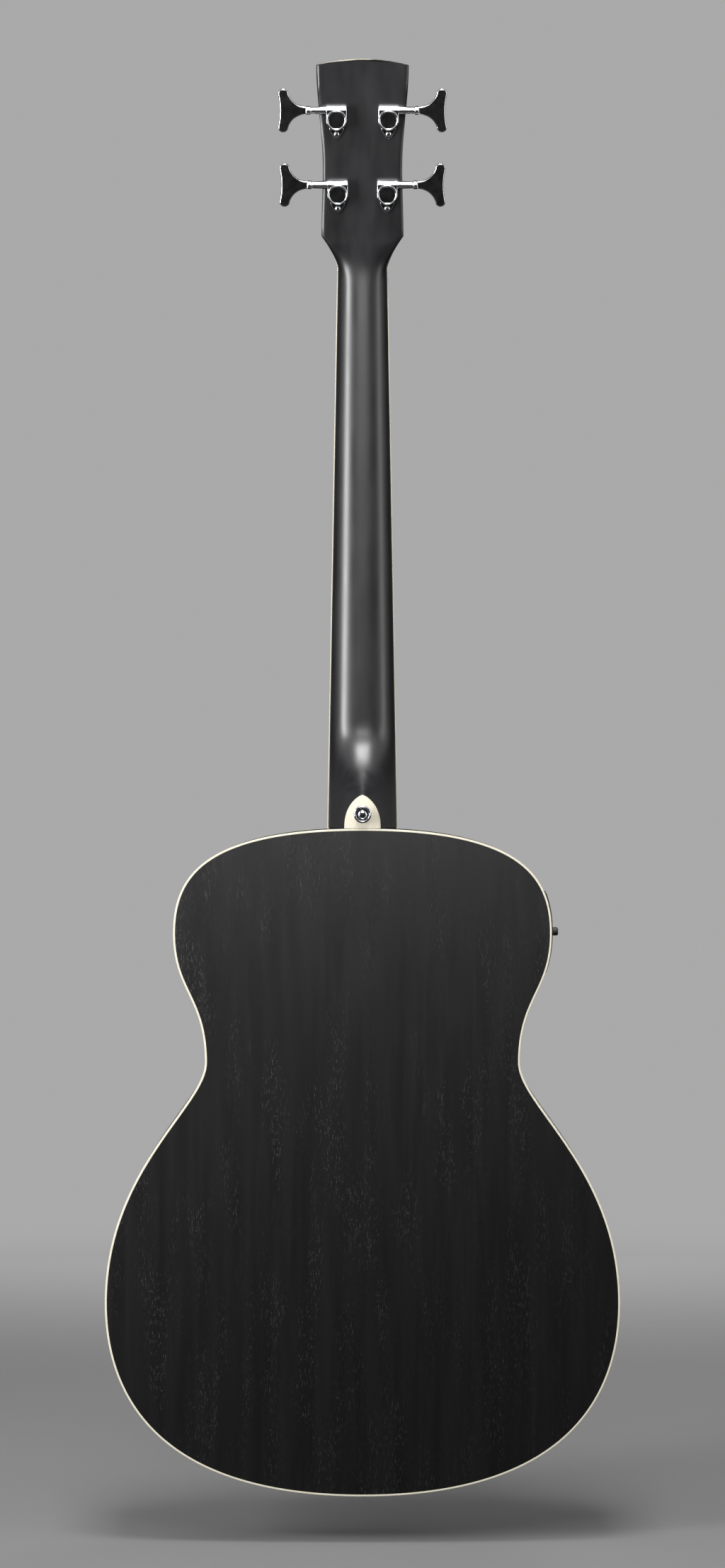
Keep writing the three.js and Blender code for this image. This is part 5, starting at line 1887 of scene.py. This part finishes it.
panel_face = upper_bout[0] + panel_top
push_radius = 2.2 * mm
knob_stem = 1.4 * mm
knob_heights = {"volume": panel_middle + knob_spacing, "tone": panel_middle}
push_height = panel_middle - knob_spacing


def across_side(piece, height):
    """Lays a piece that was turned about Y so that it points out of the bass side."""
    piece.matrix_world = Matrix.Translation((0, height, panel_z)) @ Matrix.Rotation(math.radians(90), 4, "Z")
    return piece


bores = [(height, knob_stem) for height in knob_heights.values()] + [(push_height, push_radius)]
for height, radius in bores:
    bore_tool = cylinder("panel_bore", radius + running_gap, upper_bout[0] - mm, panel_face + mm)
    cut(panel, across_side(bore_tool, height))
side_bore = cylinder("side_bore", push_radius + running_gap, upper_bout[0] - 2 * side_thickness, panel_face)
cut(bass_side, across_side(side_bore, push_height))
complete(panel, "root", [black_abs], ["preamp_panel"], weighted=True)

window_low = 12 * mm
window_high = 26 * mm
window_half = 12 * mm
window_sunk = 0.2 * mm
window_proud = 0.15 * mm
window = on_side(
    "display_window",
    panel_z + window_low,
    panel_z + window_high,
    panel_middle - window_half,
    panel_middle + window_half,
    panel_top - window_sunk,
    panel_top + window_proud,
    steps=6,
)
complete(window, "root", [window_acrylic])

# %% [markdown]
# The knobs are small round shapes with fine ribs and a white line on top. The rim is drawn as a circle
# whose radius goes in and out, which makes the ribs.

# %% Knobs and push button
knob_radius = 3.3 * mm
knob_height = 4.4 * mm
rib_count = 20
rib_depth = 0.18 * mm
rim_points = 4 * rib_count
shoulder_inset = 0.25 * mm
top_inset = 0.8 * mm
pointer_half = 0.25 * mm
pointer_depth = 0.2 * mm
pointer_proud = 0.05 * mm
knob_foot = panel_face + under_gap
knob_top = knob_foot + knob_height
for name, height in knob_heights.items():
    rings = []
    for share, inset in ((0, 0), (0.08, 0), (0.7, 0), (0.88, shoulder_inset), (1, top_inset)):
        ring = []
        for i in range(rim_points):
            turn = 2 * math.pi * i / rim_points
            rib = rib_depth if i % 4 in (2, 3) and inset == 0 else 0
            radius = knob_radius - inset - rib
            out = knob_foot + knob_height * share
            ring.append(Vector((radius * math.cos(turn), out, radius * math.sin(turn))))
        rings.append(ring)
    body = skin("knob_body", rings)
    stalk = cylinder("knob_stalk", knob_stem, upper_bout[0] + under_gap, knob_foot)
    pointer = box_between(
        "pointer",
        (-pointer_half, knob_top - pointer_depth, 0),
        (pointer_half, knob_top + pointer_proud, 0.7 * knob_radius),
    )
    for part, finish in ((body, black_abs), (stalk, black_abs), (pointer, white_mark)):
        part.data.materials.append(finish)
    knob = across_side(joined(name + "_dial", [body, stalk, pointer]), height)
    complete(knob, name + "_control", [], [name + "_knob"])

push_out = 1.3 * mm
push_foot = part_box("tuner_button")[1].x  # the button reaches as far into the body as in the frame
push_profile = [(0, -push_foot), (push_radius, -push_foot)]
push_profile += rounded_corner(push_radius, panel_face + push_out, 1, 1, edge_round)[::-1]
push_profile += [(0, panel_face + push_out - 0.2 * edge_round)]
push = across_side(turned("push_cap", push_profile, steps=40), push_height)
complete(push, "push_control", [black_abs], ["tuner_button"])

# %% [markdown]
# The output jack sits in the tail. It is turned from brass and chromed, with a flange that also holds a
# strap, a washer against the wood and a barrel with the bore for the plug.

# %% Output jack
jack_height = 60 * mm
jack_bore = 3.3 * mm
jack_out = 7.4 * mm
jack_flange = 9.2 * mm
jack_flange_thickness = 2.2 * mm
jack_waist = 6.6 * mm
washer_radius = 10 * mm
washer_thickness = 1.2 * mm
barrel_length = 32 * mm
jack_barrel = 6.2 * mm
jack_shares = [(0.15, 0.35), (0.35, 0.1), (0.6, 0)]
washer_face = -under_gap - washer_thickness
profile = rounded_corner(jack_bore, -jack_out, -1, -1, edge_round)[::-1]
profile += rounded_corner(jack_flange, -jack_out, 1, -1, 1.6 * edge_round)
profile += rounded_corner(jack_flange, jack_flange_thickness - jack_out, 1, 1, edge_round)[::-1]
for share, swell in jack_shares:
    height = mix(jack_flange_thickness - jack_out, washer_face, share)
    profile.append((mix(jack_waist, jack_flange, swell), height))
profile += [(jack_waist, washer_face)]
profile += rounded_corner(washer_radius, washer_face, 1, -1, edge_round)
profile += [(washer_radius, -under_gap), (jack_barrel, -under_gap)]
profile += [(jack_barrel, barrel_length), (jack_bore, barrel_length)]
jack = turned("output_socket", profile, steps=64)
jack_place = Matrix.Translation((0, jack_height, body_top - body_length))
jack.matrix_world = jack_place @ Matrix.Rotation(math.radians(90), 4, "X")
complete(jack, "root", [chrome], ["output_jack"], weighted=True)

# %% [markdown]
# The wooden inside of the body, the truss rod, the pickup and the preamp's box are right as they come
# from the frame. They keep their shape and get their finish: spruce braces, mahogany blocks, steel and
# moulded plastic.

# %% Finishes for the inside
inside = {
    block_wood: ("neck_block", "tail_block", "top_lining", "back_lining"),
    brace_wood: ("x_brace", "upper_brace", "back_brace_1", "back_brace_2", "back_brace_3", "bridge_plate"),
    plain_steel: ("truss_rod", "pickup"),
    black_abs: ("preamp_box",),
}
for finish, nodes in inside.items():
    for node in nodes:
        piece = frame["nodes"][node]
        piece.data.materials.clear()
        piece.data.materials.append(finish)
print("inside:", sum(len(nodes) for nodes in inside.values()), "pieces finished")

# %% [markdown]
# The floor is a matt grey sheet under the instrument. It takes the shadow, and it fades out far away, so
# that no edge shows. Shiny pieces don't mirror it.

# %% Floor
floor_level = -1.06
floor_radius = 3
fade_start = 1
fade_end = 2.9
deselect()
bpy.ops.mesh.primitive_circle_add(
    vertices=96, radius=floor_radius, fill_type="NGON", location=(0, 0, floor_level)
)
floor = named("studio_floor")
floor_paint, tree, shader = start_material("matt_floor_paint", "#6e6e6e", 0.85)
distance = add_node(tree, "VectorMath", {0: add_node(tree, "TexCoord").outputs["Object"]}, operation="LENGTH")
fading = {"From Min": fade_start, "From Max": fade_end, "To Min": 1, "To Max": 0}
fade = add_node(
    tree,
    "MapRange",
    {"Value": distance.outputs["Value"], **fading},
    interpolation_type="SMOOTHSTEP",
)
tree.links.new(fade.outputs[0], shader.inputs["Alpha"])
floor.data.materials.append(floor_paint)
floor.visible_glossy = False

# %% [markdown]
# To the camera the world is plain grey, and dull things get a weak, even light from it. Shiny things see
# a studio: dark round the camera and behind the object, with a ring between that is bright above and weak
# below. That gives chrome dark faces and bright edges. A tall strip draws the neck's line of light, a fill
# weakens the shadows, two lights reach the front, and three boxes stand in an arc, so that their
# reflections run together into one.

# %% World and lights
camera_grey = 0.4
dull_light = 0.22
# Each part of the room has the axis it lies along, the two places it changes between, and its tone at each.
room = {
    "ahead": ("Y", 0.88, 0.6, 0.04, 0.9),
    "behind": ("Y", 0.1, -0.2, 1, 0.06),
    "far": ("Y", -0.8, -0.95, 0, 0.08),
    "below": ("Z", 0.2, -0.1, 1, 0.12),
}
# Each light has its place, the point it aims at, its width, height and brightness.
lights = {
    "tall_strip_left": ((1.49, 1.36, -0.1), (0, 0, -0.1), 0.5, 1.3, 24),
    "fill_right": ((-1.9, 1.2, -0.1), (0, 0, -0.3), 0.7, 1.4, 3),
    "front_lift": ((-1.2, -2.8, 1.2), (0, 0, -0.4), 1.5, 1.5, 6),
    "front_fill": ((0, -2.4, -0.8), (0, 0, -0.7), 1, 0.4, 1.5),
}
arc_middle = Vector((0, 0.05, -0.4))
arc_radius = 2.4
arc_width = 0.8
arc_height = 0.78
arc_brightness = {24: 7.5, 46: 4, 70: 27}  # by the degrees that a box stands above the middle
world = bpy.data.worlds.new("studio_room")
bpy.context.scene.world = world
world.use_nodes = True
tree = world.node_tree
background = tree.nodes["Background"]
background.inputs["Color"].default_value = colour("#ffffff")
rays = add_node(tree, "LightPath")
direction = add_node(tree, "TexCoord").outputs["Generated"]
parts = add_node(tree, "SeparateXYZ", {0: direction})
tone = {}
for name, (axis, start, end, first, last) in room.items():
    change = {"From Min": start, "From Max": end, "To Min": first, "To Max": last}
    tone[name] = add_node(tree, "MapRange", {"Value": parts.outputs[axis], **change}).outputs[0]
ring = add_node(tree, "Math", {0: tone["ahead"], 1: tone["behind"]}, operation="MULTIPLY")
walls = add_node(
    tree, "Math", {0: ring.outputs[0], 1: tone["below"], 2: tone["far"]}, operation="MULTIPLY_ADD"
)
to_dull = {0: rays.outputs["Is Diffuse Ray"], 2: walls.outputs[0], 3: dull_light}
glossy = add_node(tree, "Mix", to_dull, data_type="FLOAT")
to_camera = {0: rays.outputs["Is Camera Ray"], 2: glossy.outputs[0], 3: camera_grey}
seen = add_node(tree, "Mix", to_camera, data_type="FLOAT")
tree.links.new(seen.outputs[0], background.inputs["Strength"])


def softbox(name, place, aim, width, height, radiance):
    """A rectangular light whose brightness is given per area, so that its size can change by itself."""
    bpy.ops.object.light_add(type="AREA", location=place)
    lamp = bpy.context.object
    lamp.name = name
    lamp.data.shape = "RECTANGLE"
    lamp.data.size = width
    lamp.data.size_y = height
    lamp.data.energy = radiance * math.pi * width * height
    lamp.rotation_euler = (Vector(aim) - Vector(place)).to_track_quat("-Z", "Y").to_euler()
    lamp.visible_camera = False
    return lamp


for name, light in lights.items():
    lamp = softbox(name, *light)
    lamp.visible_glossy = name != "front_lift"
for elevation, radiance in arc_brightness.items():
    turn = math.radians(elevation)
    place = arc_middle + arc_radius * Vector((0, math.cos(turn), math.sin(turn)))
    softbox(f"arc_box_{elevation}", place, arc_middle, arc_width, arc_height, radiance)
bpy.context.scene.view_settings.view_transform = "Standard"
